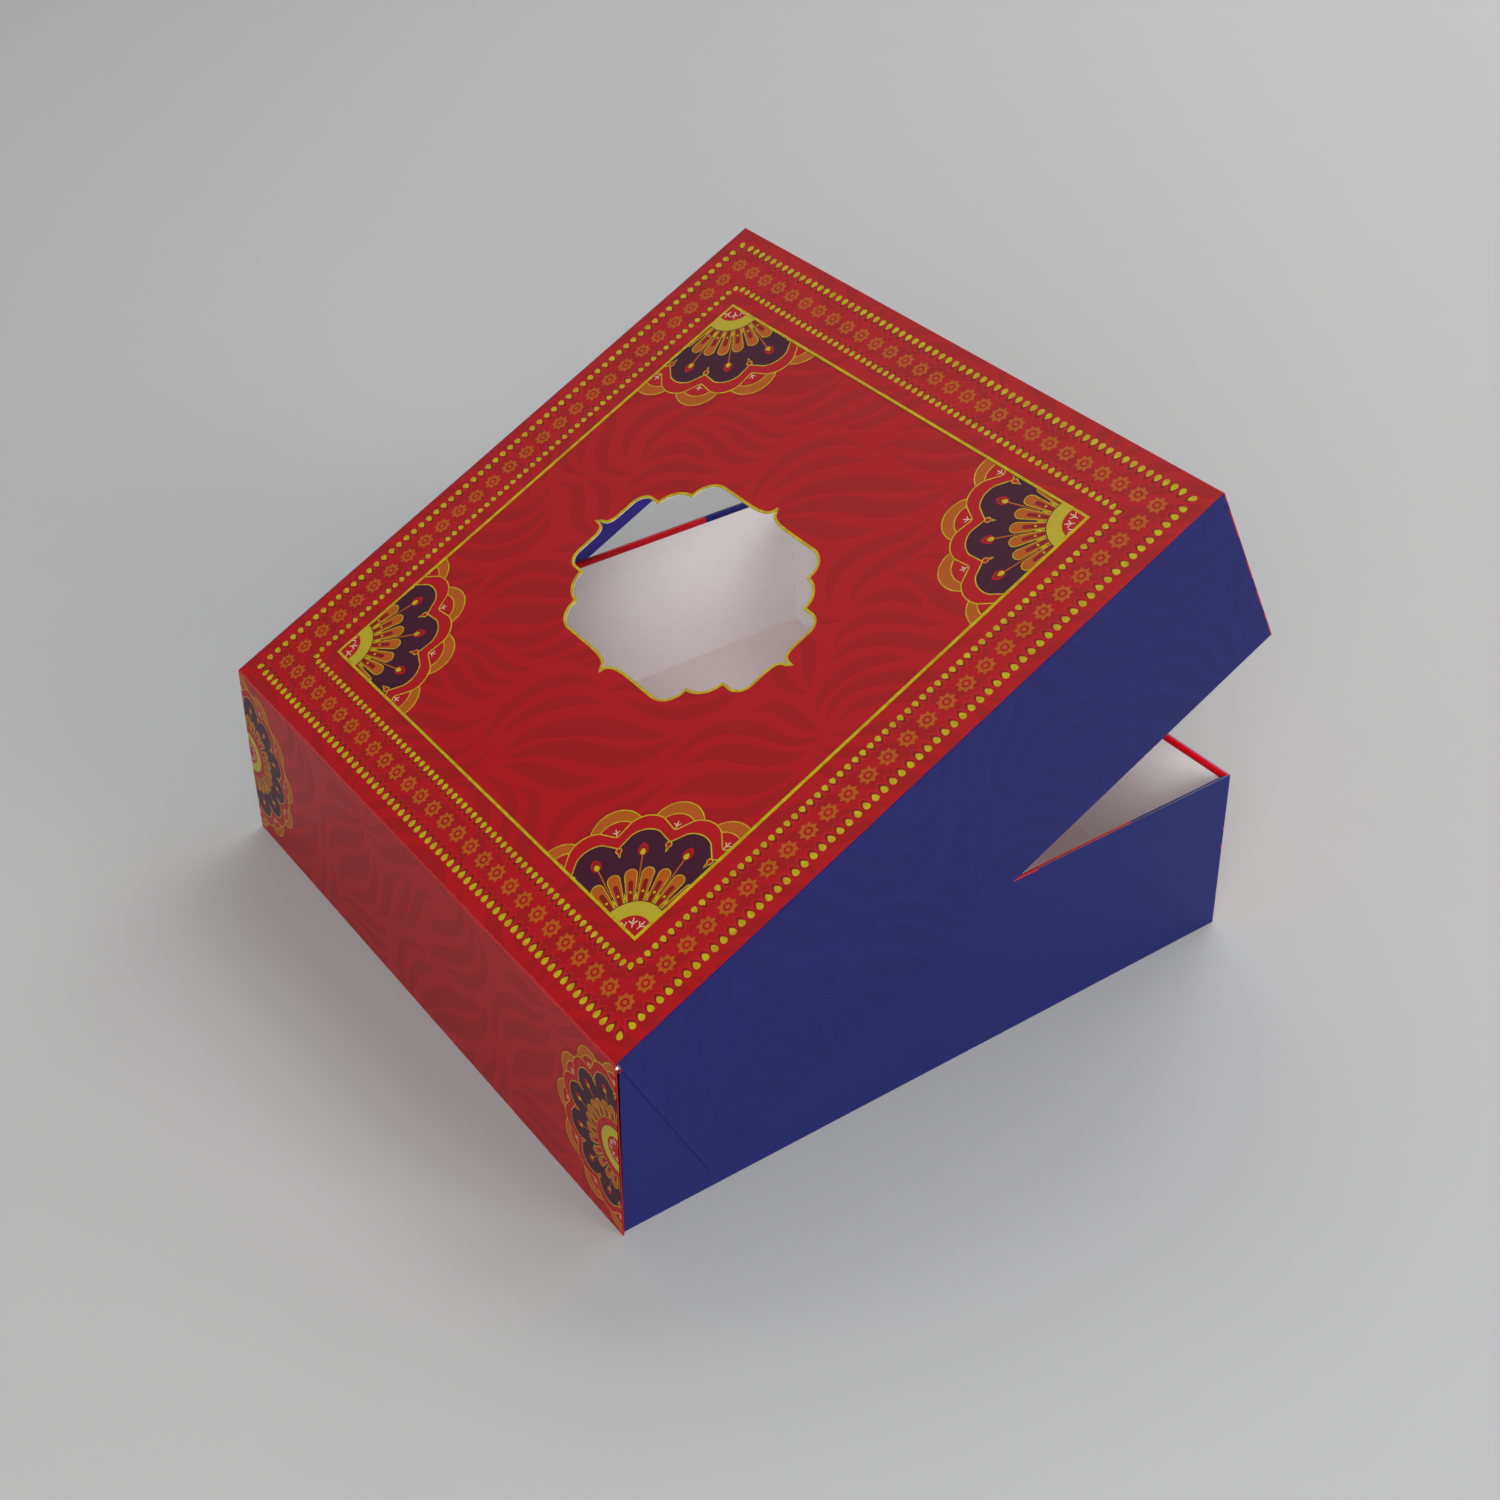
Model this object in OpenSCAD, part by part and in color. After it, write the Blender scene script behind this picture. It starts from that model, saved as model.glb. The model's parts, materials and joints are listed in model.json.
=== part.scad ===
// Sweet box of folded paperboard: a square tray with rolled double walls, and a hinged lid
// with full-depth hemmed flaps and a cusped window behind clear film.
// Each panel between two folds is a piece of its own. The origin is the centre of the base
// on the table, the lid opens towards -Y, the hinge fold is at +Y, and +Z is up.

/* [Tray] */
// Outside width of the tray, from left to right
tray_w = 226.9; // [200:0.1:280]
// Outside depth of the tray at its base, from front to rear
tray_d = 226.9; // [200:0.1:280]
// Height of the side and front walls, to the top of their rolled edges
wall_h = 59.6; // [40:0.1:90]
// Thickness of the paperboard
board = 0.4; // [0.3:0.05:0.55]
// How much the radius of the rolled top edges exceeds the thickness of the front wall
roll_margin = 0.1; // [0.05:0.05:0.6]
// How far the rear wall's foot stands out behind its top
rear_lean = 0.8; // [0:0.1:2]
// How far the front wall's foot stands out before its top
front_lean = 1.4; // [0:0.1:4]

/* [Corner tabs] */
// Reach of a corner tab from its fold to its free end
tab_reach = 22; // [12:1:40]
// How much a tab narrows at its top and at its bottom towards the free end
tab_taper = 4; // [1:0.5:8]
// How far a tab's top edge stays below the rolled bead
tab_drop = 1; // [0.5:0.5:5]

/* [Lid] */
// How far the lid stands open, counted from closed
lid_open = 26.4; // [0:0.2:120]
// Gap between each hemmed side flap and the tray
flap_gap = 0.25; // [0.2:0.05:1]
// Gap between the hemmed front flap and the foot of the tray's front wall
front_gap = 1.2; // [0.8:0.1:3]
// Gap between the side flaps' rear edges and the rear wall
flap_rear_gap = 0.4; // [0.3:0.05:1]
// Gap between the closed lid's flaps and the table
table_gap = 0.3; // [0.2:0.1:2]
// Head room between the rolled edges and the closed lid
head_room = 4; // [1:0.1:6]
// How far the hem inside a flap stops below the lid panel
hem_drop = 3; // [1:0.5:20]

/* [Hinge fold] */
// Height of the crushed fold strip on top of the rear wall
fold_h = 0.6; // [0.4:0.1:1.5]
// Running gap between the fold and the lid panel's edge
fold_gap = 0.1; // [0.08:0.01:0.3]

/* [Window] */
// Width of the window between its straight sides
window_w = 92.8; // [80:0.2:130]
// Depth of the window between its straight front and rear edges
window_d = 64.8; // [58:0.2:100]
// Length of the pointed tips in the middle of the left and right sides
side_tip = 5.9; // [2:0.1:9]
// Half of the width that a side tip spreads over
side_tip_spread = 6.5; // [3:0.1:9]
// Length of the pointed tips in the middle of the front and rear edges
end_tip = 5; // [2:0.1:9]
// Half of the width that an end tip spreads over
end_tip_spread = 13; // [5:0.5:15]
// Radius of the rounded shoulders beside the front and rear edges
shoulder_r = 7; // [5:0.1:8]
// Radius of the round lobe between the two cusps of a corner
lobe_r = 8.2; // [5:0.1:9]
// Radius of the rounded shoulders beside the left and right sides
side_r = 4.5; // [3:0.1:6]
// Straight run from the outer cusp to the side shoulder
cusp_run = 3.7; // [1:0.1:6]
// Straight drop from the end shoulder to the inner cusp
cusp_drop = 1.2; // [0.5:0.1:3]
// How far the clear film reaches past the window's tips
film_margin = 8; // [4:0.5:15]
// Thickness of the clear film
film_t = 0.15; // [0.1:0.01:0.3]

/* [Hidden] */

red = [0.66, 0.05, 0.10];
blue = [0.14, 0.15, 0.40];
bare = [0.86, 0.82, 0.80];
left = -1;
right = 1;

// How far in from the outer face the inner panels' faces lie: a side wall is two boards thick,
// and the front wall three, with the corner tabs in between
side_seam = 2 * board;
front_seam = 3 * board;

// Radius and middle of the bead that is rolled inwards along the top of a double wall
roll_r = front_seam + roll_margin;
roll_z = wall_h - roll_r;
tab_top = roll_z - roll_r - tab_drop;

// The closed lid, and the axis of the fold that it turns about
box_h = wall_h + head_room + board;
lid_under = box_h - board;
hinge_z = box_h - board / 2;
hinge_y = rear_y(hinge_z) - board / 2;
hem_t = 2 * board;
front_hem_t = 3 * board;
lid_w = tray_w + 2 * (flap_gap + hem_t);
lid_front = front_y(0) - front_gap - front_hem_t;
lid_mid = (lid_front + hinge_y + board / 2) / 2;
flap_rear = rear_y(hinge_z) - board - flap_rear_gap;
hem_top = lid_under - hem_drop;

// Half the tray's width to the inner faces of its outer side panels
side_in = tray_w / 2 - board;

// Points along a curved stretch, and how sharply the window's tips curve in
curve_steps = 8;
tip_power = 0.43;

// Outer faces of the leaning rear and front walls at a height
function rear_y(z) = tray_d / 2 - rear_lean * z / box_h;
function front_y(z) = -tray_d / 2 + front_lean * z / wall_h;

// Height at which an inner panel meets the inside of the rolled bead
function seam_top(seam) = roll_z - sqrt(pow(roll_r - board, 2) - pow(seam - board, 2));

// Clockwise quarter of a circle from its top to its right
function quarter(centre, r) =
  [for (i = [0:curve_steps]) centre + r * [sin(90 * i / curve_steps), cos(90 * i / curve_steps)]];

// Height of a pointed tip at a distance from its middle
function tip_rise(x, spread, rise) = rise * pow(1 - pow(x / spread, tip_power), 1 / tip_power);

// Steps across a tip, closer together near its point
function tip_steps(spread) = [for (i = [0:curve_steps]) spread * pow(i / curve_steps, 2)];

// Outline of the window's rear right quarter, from the rear tip round to the right tip
function window_quarter() =
  let (
    inner_cusp = [
      window_w / 2 - side_r - cusp_run - lobe_r,
      window_d / 2 - shoulder_r - cusp_drop
    ],
    outer_cusp = inner_cusp + [lobe_r, -lobe_r],
    side = window_w / 2,
    rear = window_d / 2
  )
  concat(
    [for (x = tip_steps(end_tip_spread)) [x, rear + tip_rise(x, end_tip_spread, end_tip)]],
    quarter([inner_cusp[0] - shoulder_r, rear - shoulder_r], shoulder_r),
    quarter(inner_cusp - [0, lobe_r], lobe_r),
    quarter([side - side_r, outer_cusp[1] - side_r], side_r),
    [
      for (i = [curve_steps:-1:1])
      let (y = tip_steps(side_tip_spread)[i])
      [side + tip_rise(y, side_tip_spread, side_tip), y]
    ],
    [[side + side_tip, 0]]
  );

// Runs a profile drawn in Y and Z along X, between two values of X
module along_x(from, to) {
  translate([from, 0, 0]) rotate([90, 0, 90]) linear_extrude(to - from) children();
}

// Runs a profile drawn in X and Z along Y, between two values of Y
module along_y(from, to) {
  translate([0, to, 0]) rotate([90, 0, 0]) linear_extrude(to - from) children();
}

// A flat panel between two corners
module panel(low, high) {
  translate(low) cube(high - low);
}

// The same piece on the left or on the right
module on_side(side) {
  if (side == left) mirror([1, 0, 0]) children();
  else children();
}

// Turns the closed lid open about the hinge fold
module opened() {
  translate([0, hinge_y, hinge_z]) rotate([-lid_open, 0, 0])
    translate([0, -hinge_y, -hinge_z]) children();
}

// Section of a leaning layer of board, with its outer face at two points
module leaning_layer(y_low, z_low, y_high, z_high) {
  polygon([[y_low, z_low], [y_low + board, z_low], [y_high + board, z_high], [y_high, z_high]]);
}

// Section of one layer of the front wall between two heights, set in from the outer face. All
// layers are cut from strips with the same lean, so that their faces meet exactly.
module front_layer(inset, z_low, z_high) {
  intersection() {
    leaning_layer(front_y(0) + inset, 0, front_y(wall_h) + inset, wall_h);
    translate([front_y(0), z_low]) square([front_lean + inset + board, z_high - z_low]);
  }
}

// Section of a rolled bead. The outer panel's outer face leads up to X = 0 at the top, the board
// curls in from the crease there, and comes back under itself to the inner panel's face.
module roll_section(lean, seam) {
  before = -2 * roll_r;
  seam_x = seam - lean * roll_r / wall_h;
  difference() {
    translate([board, roll_z]) difference() {
      circle(r = roll_r, $fn = 48);
      circle(r = roll_r - board, $fn = 48);
    }
    polygon([[board - lean, 0], [board, wall_h], [before, wall_h], [before, 0]]);
    polygon([[seam - lean, 0], [seam_x, roll_z], [before, roll_z], [before, 0]]);
  }
}

// Outline of a corner tab, from its fold at X = 0 towards -X
module tab_outline(low, high) {
  polygon([[0, low], [0, high], [-tab_reach, high - tab_taper], [-tab_reach, low + tab_taper]]);
}

module window_outline() {
  for (flip_x = [0, 1], flip_y = [0, 1])
    mirror([flip_x, 0]) mirror([0, flip_y]) polygon(concat([[0, 0]], window_quarter()));
}

module tray_floor() {
  color(bare) along_x(-side_in, side_in) polygon([
    [front_y(0) + board, 0],
    [rear_y(0) - board, 0],
    [rear_y(board) - board, board],
    [front_y(board) + board, board]
  ]);
}

module rear_wall() {
  top = hinge_z - fold_h;
  color(red) along_x(-lid_w / 2, lid_w / 2)
    leaning_layer(rear_y(0) - board, 0, rear_y(top) - board, top);
}

module hinge_fold() {
  foot = hinge_z - fold_h;
  color(red) along_x(-lid_w / 2, lid_w / 2) {
    leaning_layer(rear_y(foot) - board, foot, rear_y(hinge_z) - board, hinge_z);
    translate([hinge_y, hinge_z]) circle(d = board, $fn = 32);
  }
}

module front_wall_outer() {
  color(red) along_x(-tray_w / 2, tray_w / 2) front_layer(0, 0, wall_h);
}

module front_wall_roll() {
  color(red) along_x(-side_in, side_in)
    translate([front_y(wall_h), 0]) roll_section(front_lean, front_seam);
}

module front_wall_inner() {
  color(bare) along_x(-side_in, side_in)
    front_layer(front_seam - board, board, seam_top(front_seam));
}

module side_wall_outer(side) {
  color(blue) on_side(side) along_x(side_in, tray_w / 2) polygon([
    [front_y(0) + board, 0],
    [rear_y(0) - board, 0],
    [rear_y(wall_h) - board, wall_h],
    [front_y(wall_h) + board, wall_h]
  ]);
}

// Side bead, which starts at the front bead's inner side
module side_wall_roll(side) {
  color(red) on_side(side)
    along_y(front_y(wall_h) + board + roll_r, rear_y(wall_h) - board)
      translate([tray_w / 2, 0]) mirror([1, 0]) roll_section(0, side_seam);
}

// Inner side panel, from the bead down to the floor, between the front wall's inner panel
// and the rear tab
module side_wall_inner(side) {
  top = seam_top(side_seam);
  color(bare) on_side(side) along_x(tray_w / 2 - side_seam, side_in) polygon([
    [front_y(board) + front_seam, board],
    [rear_y(board) - 2 * board, board],
    [rear_y(top) - 2 * board, top],
    [front_y(top) + front_seam, top]
  ]);
}

module rear_tab(side) {
  color(bare) on_side(side) intersection() {
    along_x(0, side_in)
      leaning_layer(rear_y(board) - 2 * board, board, rear_y(tab_top) - 2 * board, tab_top);
    along_y(0, tray_d) translate([side_in, 0]) tab_outline(board, tab_top);
  }
}

module front_tab(side) {
  color(bare) on_side(side) intersection() {
    along_x(0, side_in)
      front_layer(board, board, tab_top);
    along_y(-tray_d, 0) translate([side_in, 0]) tab_outline(board, tab_top);
  }
}

module lid_panel() {
  color(red) opened() difference() {
    translate([0, 0, lid_under]) linear_extrude(board) difference() {
      translate([-lid_w / 2, lid_front]) square([lid_w, hinge_y - lid_front]);
      translate([0, lid_mid]) window_outline();
    }
    along_x(-lid_w, lid_w)
      translate([hinge_y, hinge_z]) circle(r = board / 2 + fold_gap, $fn = 48);
  }
}

module lid_front_flap() {
  color(red) opened()
    panel([-lid_w / 2, lid_front, table_gap], [lid_w / 2, lid_front + board, lid_under]);
}

module lid_front_hem() {
  reach = lid_w / 2 - board;
  color(red) opened()
    panel([-reach, lid_front + 2 * board, table_gap], [reach, lid_front + front_hem_t, hem_top]);
}

module lid_side_flap(side) {
  color(blue) opened() on_side(side)
    panel([lid_w / 2 - board, lid_front + board, table_gap], [lid_w / 2, flap_rear, lid_under]);
}

module lid_side_hem(side) {
  color(blue) opened() on_side(side) panel(
    [lid_w / 2 - hem_t, lid_front + front_hem_t, table_gap],
    [lid_w / 2 - board, flap_rear, hem_top]
  );
}

module lid_tab(side) {
  color(bare) opened() on_side(side)
    along_y(lid_front + board, lid_front + 2 * board)
      translate([lid_w / 2 - board, 0]) tab_outline(table_gap, lid_under);
}

module window_film() {
  film = [window_w + 2 * (side_tip + film_margin), window_d + 2 * (end_tip + film_margin)];
  color([0.9, 0.95, 1, 0.15]) opened()
    translate([-film[0] / 2, lid_mid - film[1] / 2, lid_under - film_t])
      cube([film[0], film[1], film_t]);
}

tray_floor();
rear_wall();
hinge_fold();
front_wall_outer();
front_wall_roll();
front_wall_inner();
side_wall_outer(left);  // left_wall_outer
side_wall_roll(left);  // left_wall_roll
side_wall_inner(left);  // left_wall_inner
side_wall_outer(right);  // right_wall_outer
side_wall_roll(right);  // right_wall_roll
side_wall_inner(right);  // right_wall_inner
rear_tab(left);  // left_rear_tab
rear_tab(right);  // right_rear_tab
front_tab(left);  // left_front_tab
front_tab(right);  // right_front_tab
lid_panel();
lid_front_flap();
lid_front_hem();
lid_side_flap(left);  // lid_left_flap
lid_side_hem(left);  // lid_left_hem
lid_side_flap(right);  // lid_right_flap
lid_side_hem(right);  // lid_right_hem
lid_tab(left);  // lid_left_tab
lid_tab(right);  // lid_right_tab
window_film();
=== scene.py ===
"""Looks of the sweet box: board finishes, printed ornament, clear film, floor, lamps and camera."""

import json
import math
import random

import bmesh
import bpy
from mathutils import Matrix, Vector
from mathutils.geometry import delaunay_2d_cdt


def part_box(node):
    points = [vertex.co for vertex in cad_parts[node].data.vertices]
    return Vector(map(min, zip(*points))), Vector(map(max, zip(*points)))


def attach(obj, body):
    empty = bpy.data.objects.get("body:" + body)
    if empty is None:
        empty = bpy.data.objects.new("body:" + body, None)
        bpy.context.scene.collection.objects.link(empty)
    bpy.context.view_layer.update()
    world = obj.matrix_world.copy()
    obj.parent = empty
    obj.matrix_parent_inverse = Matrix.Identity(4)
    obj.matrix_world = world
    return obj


bl_info = {
    "name": "Sweet box looks",
    "version": (1, 0, 0),
    "blender": (4, 5, 0),
    "location": "3D View > Sidebar > Sweet box",
    "description": "Dresses the packed sweet box with board, ink and film finishes and sets its stage",
    "category": "Object",
}

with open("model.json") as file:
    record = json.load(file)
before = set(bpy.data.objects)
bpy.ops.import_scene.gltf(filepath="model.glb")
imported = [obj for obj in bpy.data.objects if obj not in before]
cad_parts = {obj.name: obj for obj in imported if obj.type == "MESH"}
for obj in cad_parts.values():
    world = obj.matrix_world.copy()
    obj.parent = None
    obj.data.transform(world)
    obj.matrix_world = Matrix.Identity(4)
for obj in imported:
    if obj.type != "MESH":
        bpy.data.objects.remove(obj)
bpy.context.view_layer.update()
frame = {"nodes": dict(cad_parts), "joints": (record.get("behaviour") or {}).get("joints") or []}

MM = 0.001

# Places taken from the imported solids.

FOLD = frame["joints"][0]
FOLD_POINT = Vector(FOLD["pos_m"])
FOLD_AXIS = Vector(FOLD["axis"])
OPENING = math.radians(-FOLD["range_deg"][0])
LID_TURN = (
    Matrix.Translation(FOLD_POINT)
    @ Matrix.Rotation(OPENING, 4, FOLD_AXIS)
    @ Matrix.Translation(-FOLD_POINT)
)


def shut_points(node):
    """The corners of a lid node with the lid shut, in metres."""
    back = LID_TURN.inverted()
    return [back @ v.co for v in frame["nodes"][node].data.vertices]


def spread(points):
    """Lowest and highest corner of some points."""
    low = Vector(min(p[i] for p in points) for i in range(3))
    high = Vector(max(p[i] for p in points) for i in range(3))
    return low, high


LID_TOP = spread(shut_points("lid_panel"))[1].z
LID_HALF = spread(shut_points("lid_panel"))[1].x
LID_BACK = spread(shut_points("lid_panel"))[1].y
LID_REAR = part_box("hinge_fold")[1].y
LID_FRONT = spread(shut_points("lid_front_flap"))[0].y
FLAP_FOOT = spread(shut_points("lid_left_flap"))[0].z
FLAP_REAR = spread(shut_points("lid_left_flap"))[1].y
LID_WIDTH = 2 * LID_HALF / MM
LID_LENGTH = (LID_REAR - LID_FRONT) / MM
FLAP_DEPTH = (LID_TOP - FLAP_FOOT) / MM
REAR_FOOT, REAR_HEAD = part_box("rear_wall")
REAR_TOP_Y = max(v.co.y for v in frame["nodes"]["rear_wall"].data.vertices if v.co.z > REAR_HEAD.z - 1e-5)
REAR_HEIGHT = REAR_HEAD.z / MM
FRONT_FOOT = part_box("front_wall_outer")[0].y / MM
FRONT_POINTS = frame["nodes"]["front_wall_outer"].data.vertices
FRONT_TOP = min(v.co.y for v in FRONT_POINTS if v.co.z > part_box("front_wall_outer")[1].z - 1e-5) / MM
NICK_PLACE = Vector((-LID_HALF - 0.005 * MM, LID_REAR - 0.45 * MM, FOLD_POINT.z - 1.0 * MM))


class Face:
    """A flat outer face of the box: a point in millimetres across and down it, and a lift above it."""

    def __init__(self, corner, across, down, out, turn=None):
        turn = turn or Matrix.Identity(4)
        self.corner = turn @ Vector(corner)
        self.across = turn.to_3x3() @ Vector(across)
        self.down = turn.to_3x3() @ Vector(down)
        self.out = turn.to_3x3() @ Vector(out)

    def shifted(self, x, y):
        """The same face with its corner moved."""
        return Face(self.place(x, y, 0), self.across, self.down, self.out)

    def place(self, x, y, lift):
        return self.corner + (self.across * x + self.down * y + self.out * lift) * MM


WALL_LOW, WALL_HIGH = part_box("left_wall_outer")
WALL_FACE = Face((WALL_LOW.x, 0, 0), (0, 1, 0), (0, 0, 1), (-1, 0, 0))
REAR_DOWN = Vector((0, REAR_HEAD.y - REAR_TOP_Y, -REAR_HEAD.z)).normalized()
LID_FACE = Face((-LID_HALF, LID_REAR, LID_TOP), (1, 0, 0), (0, -1, 0), (0, 0, 1), LID_TURN)
LEFT_FACE = Face((-LID_HALF, LID_REAR, LID_TOP), (0, -1, 0), (0, 0, -1), (-1, 0, 0), LID_TURN)
RIGHT_FACE = Face((LID_HALF, LID_REAR, LID_TOP), (0, -1, 0), (0, 0, -1), (1, 0, 0), LID_TURN)
FRONT_FACE = Face((-LID_HALF, LID_FRONT, LID_TOP), (1, 0, 0), (0, 0, -1), (0, -1, 0), LID_TURN)
REAR_FACE = Face((-LID_HALF, REAR_TOP_Y, REAR_HEAD.z), (1, 0, 0), REAR_DOWN, (0, -REAR_DOWN.z, REAR_DOWN.y))


# Settings shown in the sidebar.


def linear(part):
    """One part of a colour, 0 to 255 as seen on a screen, as light."""
    part /= 255
    return part / 12.92 if part <= 0.04045 else ((part + 0.055) / 1.055) ** 2.4


def colour_setting(name, about, *seen):
    return bpy.props.FloatVectorProperty(
        name=name, description=about, subtype="COLOR", size=3, min=0, max=1,
        default=[linear(part) for part in seen],
    )


def length_setting(name, about, millimetres):
    return bpy.props.FloatProperty(
        name=name, description=about, unit="LENGTH", subtype="DISTANCE", precision=5, min=0,
        default=millimetres * MM,
    )


def count_setting(name, about, number):
    return bpy.props.IntProperty(name=name, description=about, default=number, min=1, max=400)


class SweetBoxInks(bpy.types.PropertyGroup):
    """Colours of the print and of the board"""

    red: colour_setting("Red ground", "Lid, front and rear walls", 156, 8, 18)
    red_leaf: colour_setting("Red leaves", "Leaves printed over the red", 143, 10, 18)
    # Painted highlight: a lighter red on creases and over the whole hinge fold strip.
    red_highlight: colour_setting("Red highlight at folds", "Painted highlight where the board is creased", 182, 20, 34)
    roll_red: colour_setting("Roll red", "Red of the rolled rims", 205, 6, 26)
    blue: colour_setting("Blue ground", "Side flaps and tray walls", 24, 29, 91)
    blue_leaf: colour_setting("Blue leaves", "Leaves printed over the blue", 24, 27, 86)
    blue_lining: colour_setting("Blue lining", "Inner ply of the side flaps", 72, 62, 180)
    navy: colour_setting("Navy", "Front part of the side rims", 26, 26, 108)
    edge_navy: colour_setting("Navy edge", "Blue line along the lid's side folds", 14, 16, 84)
    # Painted sheen: a greyed navy and a greyed red on the side walls' top edges stand in for a grazing reflection.
    sheen_navy: colour_setting("Navy sheen", "Painted sheen on the top edge of the side walls, at the front", 78, 76, 96)
    sheen_red: colour_setting("Red sheen", "Painted sheen on the top edge of the side walls", 128, 72, 78)
    # Painted highlight: a lilac line on the front wall's top edge.
    lilac: colour_setting("Lilac", "Painted highlight along the front wall's top edge", 120, 84, 132)
    gold: colour_setting("Gold", "Drops and outlines", 172, 160, 12)
    gold_warm: colour_setting("Warm gold", "Middle of the drops", 162, 134, 16)
    pale_gold: colour_setting("Pale gold", "Ring of the rosettes", 164, 149, 35)
    orange: colour_setting("Orange", "Stars and petals", 158, 77, 11)
    # Painted shadow: a near black sheet in the gap at the rear left corner.
    seam: colour_setting("Seam", "Painted shadow in the gap at the rear left corner", 8, 4, 12)
    purple: colour_setting("Purple", "Ground of the rosettes", 56, 12, 36)
    deep_red: colour_setting("Deep red", "Slots of the petals and the shade of the drops", 118, 14, 14)
    halo: colour_setting("Halo red", "Faint line round the drops", 170, 28, 30)
    sprig: colour_setting("Sprig", "Small sprigs", 190, 172, 142)
    board: colour_setting("Bare board", "Unprinted faces", 252, 249, 248)
    # Painted shade and painted red bounce light: the tray floor is a darker, pinker board than the walls.
    floor_board_shaded: colour_setting("Tray floor", "Unprinted face of the tray's floor, darker and pinker as painted shade and red bounce light", 248, 234, 233)


class SweetBoxPrint(bpy.types.PropertyGroup):
    """Sizes of the printed ornament"""

    ink: length_setting("Ink step", "Height of one layer of ink over the next", 0.02)
    outer_inset: length_setting("Outer drops", "Middle of the outer drops from the lid's edge", 6.05)
    outer_pitch: length_setting("Outer pitch", "Spacing of the outer drops", 3.30)
    star_inset: length_setting("Stars", "Middle of the stars from the lid's edge", 13.4)
    star_count: count_setting("Star count", "Stars along each side, with the corner ones", 28)
    inner_inset: length_setting("Inner drops", "Middle of the inner drops from the lid's edge", 20.4)
    inner_pitch: length_setting("Inner pitch", "Spacing of the inner drops", 2.87)
    drops: count_setting("Drop count", "Drops along each side, between the corner ones", 64)
    frame_inset: length_setting("Frame line", "Middle of the gold frame line from the lid's edge", 27.3)
    frame_width: length_setting("Frame line width", "Width of the gold frame line", 0.86)
    window_line: length_setting("Window line", "Width of the gold line round the window", 0.85)
    repeat_across: length_setting("Leaf repeat across", "Repeat of the leaves over the width", 109.43)
    repeat_down: length_setting("Leaf repeat along", "Repeat of the leaves over the depth", 110.0)


class SweetBoxStage(bpy.types.PropertyGroup):
    """Floor, lamps and camera"""

    floor: colour_setting("Floor", "Colour of the floor", 173, 173, 173)
    sky: bpy.props.FloatProperty(name="Sky", description="Strength of the even light", default=0.25, min=0)
    power: bpy.props.FloatProperty(name="Lamps", description="Power of a full lamp", default=20, min=0, unit="POWER")
    distance: length_setting("Distance", "Distance of the lamps from the box", 2200)
    width: length_setting("Lamp width", "Width of the round lamps", 1300)
    lens: bpy.props.FloatProperty(name="Lens", description="Focal length", default=54.256, min=1, unit="CAMERA")


# Shader building.


def add(tree, kind, inputs=(), **settings):
    """Adds a node, with its settings and its inputs, which are values or other nodes' outputs."""
    made = tree.nodes.new("ShaderNode" + kind)
    for key, value in settings.items():
        setattr(made, key, value)
    for key, value in dict(inputs).items():
        if isinstance(value, bpy.types.NodeSocket):
            tree.links.new(value, made.inputs[key])
        else:
            made.inputs[key].default_value = value
    return made


def maths(tree, operation, a, b=0.0, clamp=False):
    return add(tree, "Math", {0: a, 1: b}, operation=operation, use_clamp=clamp).outputs[0]


def mixed(tree, share, a, b, blend="MIX"):
    made = add(tree, "Mix", {0: share, 6: a, 7: b}, data_type="RGBA", blend_type=blend)
    return made.outputs[2]


def ramp(tree, value, low, high, to_low=0.0, to_high=1.0, smooth=True):
    made = add(
        tree, "MapRange", {"Value": value, "From Min": low, "From Max": high, "To Min": to_low, "To Max": to_high},
        interpolation_type="SMOOTHSTEP" if smooth else "LINEAR",
    )
    return made.outputs["Result"]


def new_group(name, inputs, outputs):
    """An empty shader node group with named sockets, and its two end nodes."""
    group = bpy.data.node_groups.new(name, "ShaderNodeTree")
    for label, kind, value in inputs:
        socket = group.interface.new_socket(label, in_out="INPUT", socket_type="NodeSocket" + kind)
        socket.default_value = value
    for label, kind in outputs:
        group.interface.new_socket(label, in_out="OUTPUT", socket_type="NodeSocket" + kind)
    return group, group.nodes.new("NodeGroupInput"), group.nodes.new("NodeGroupOutput")


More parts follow.
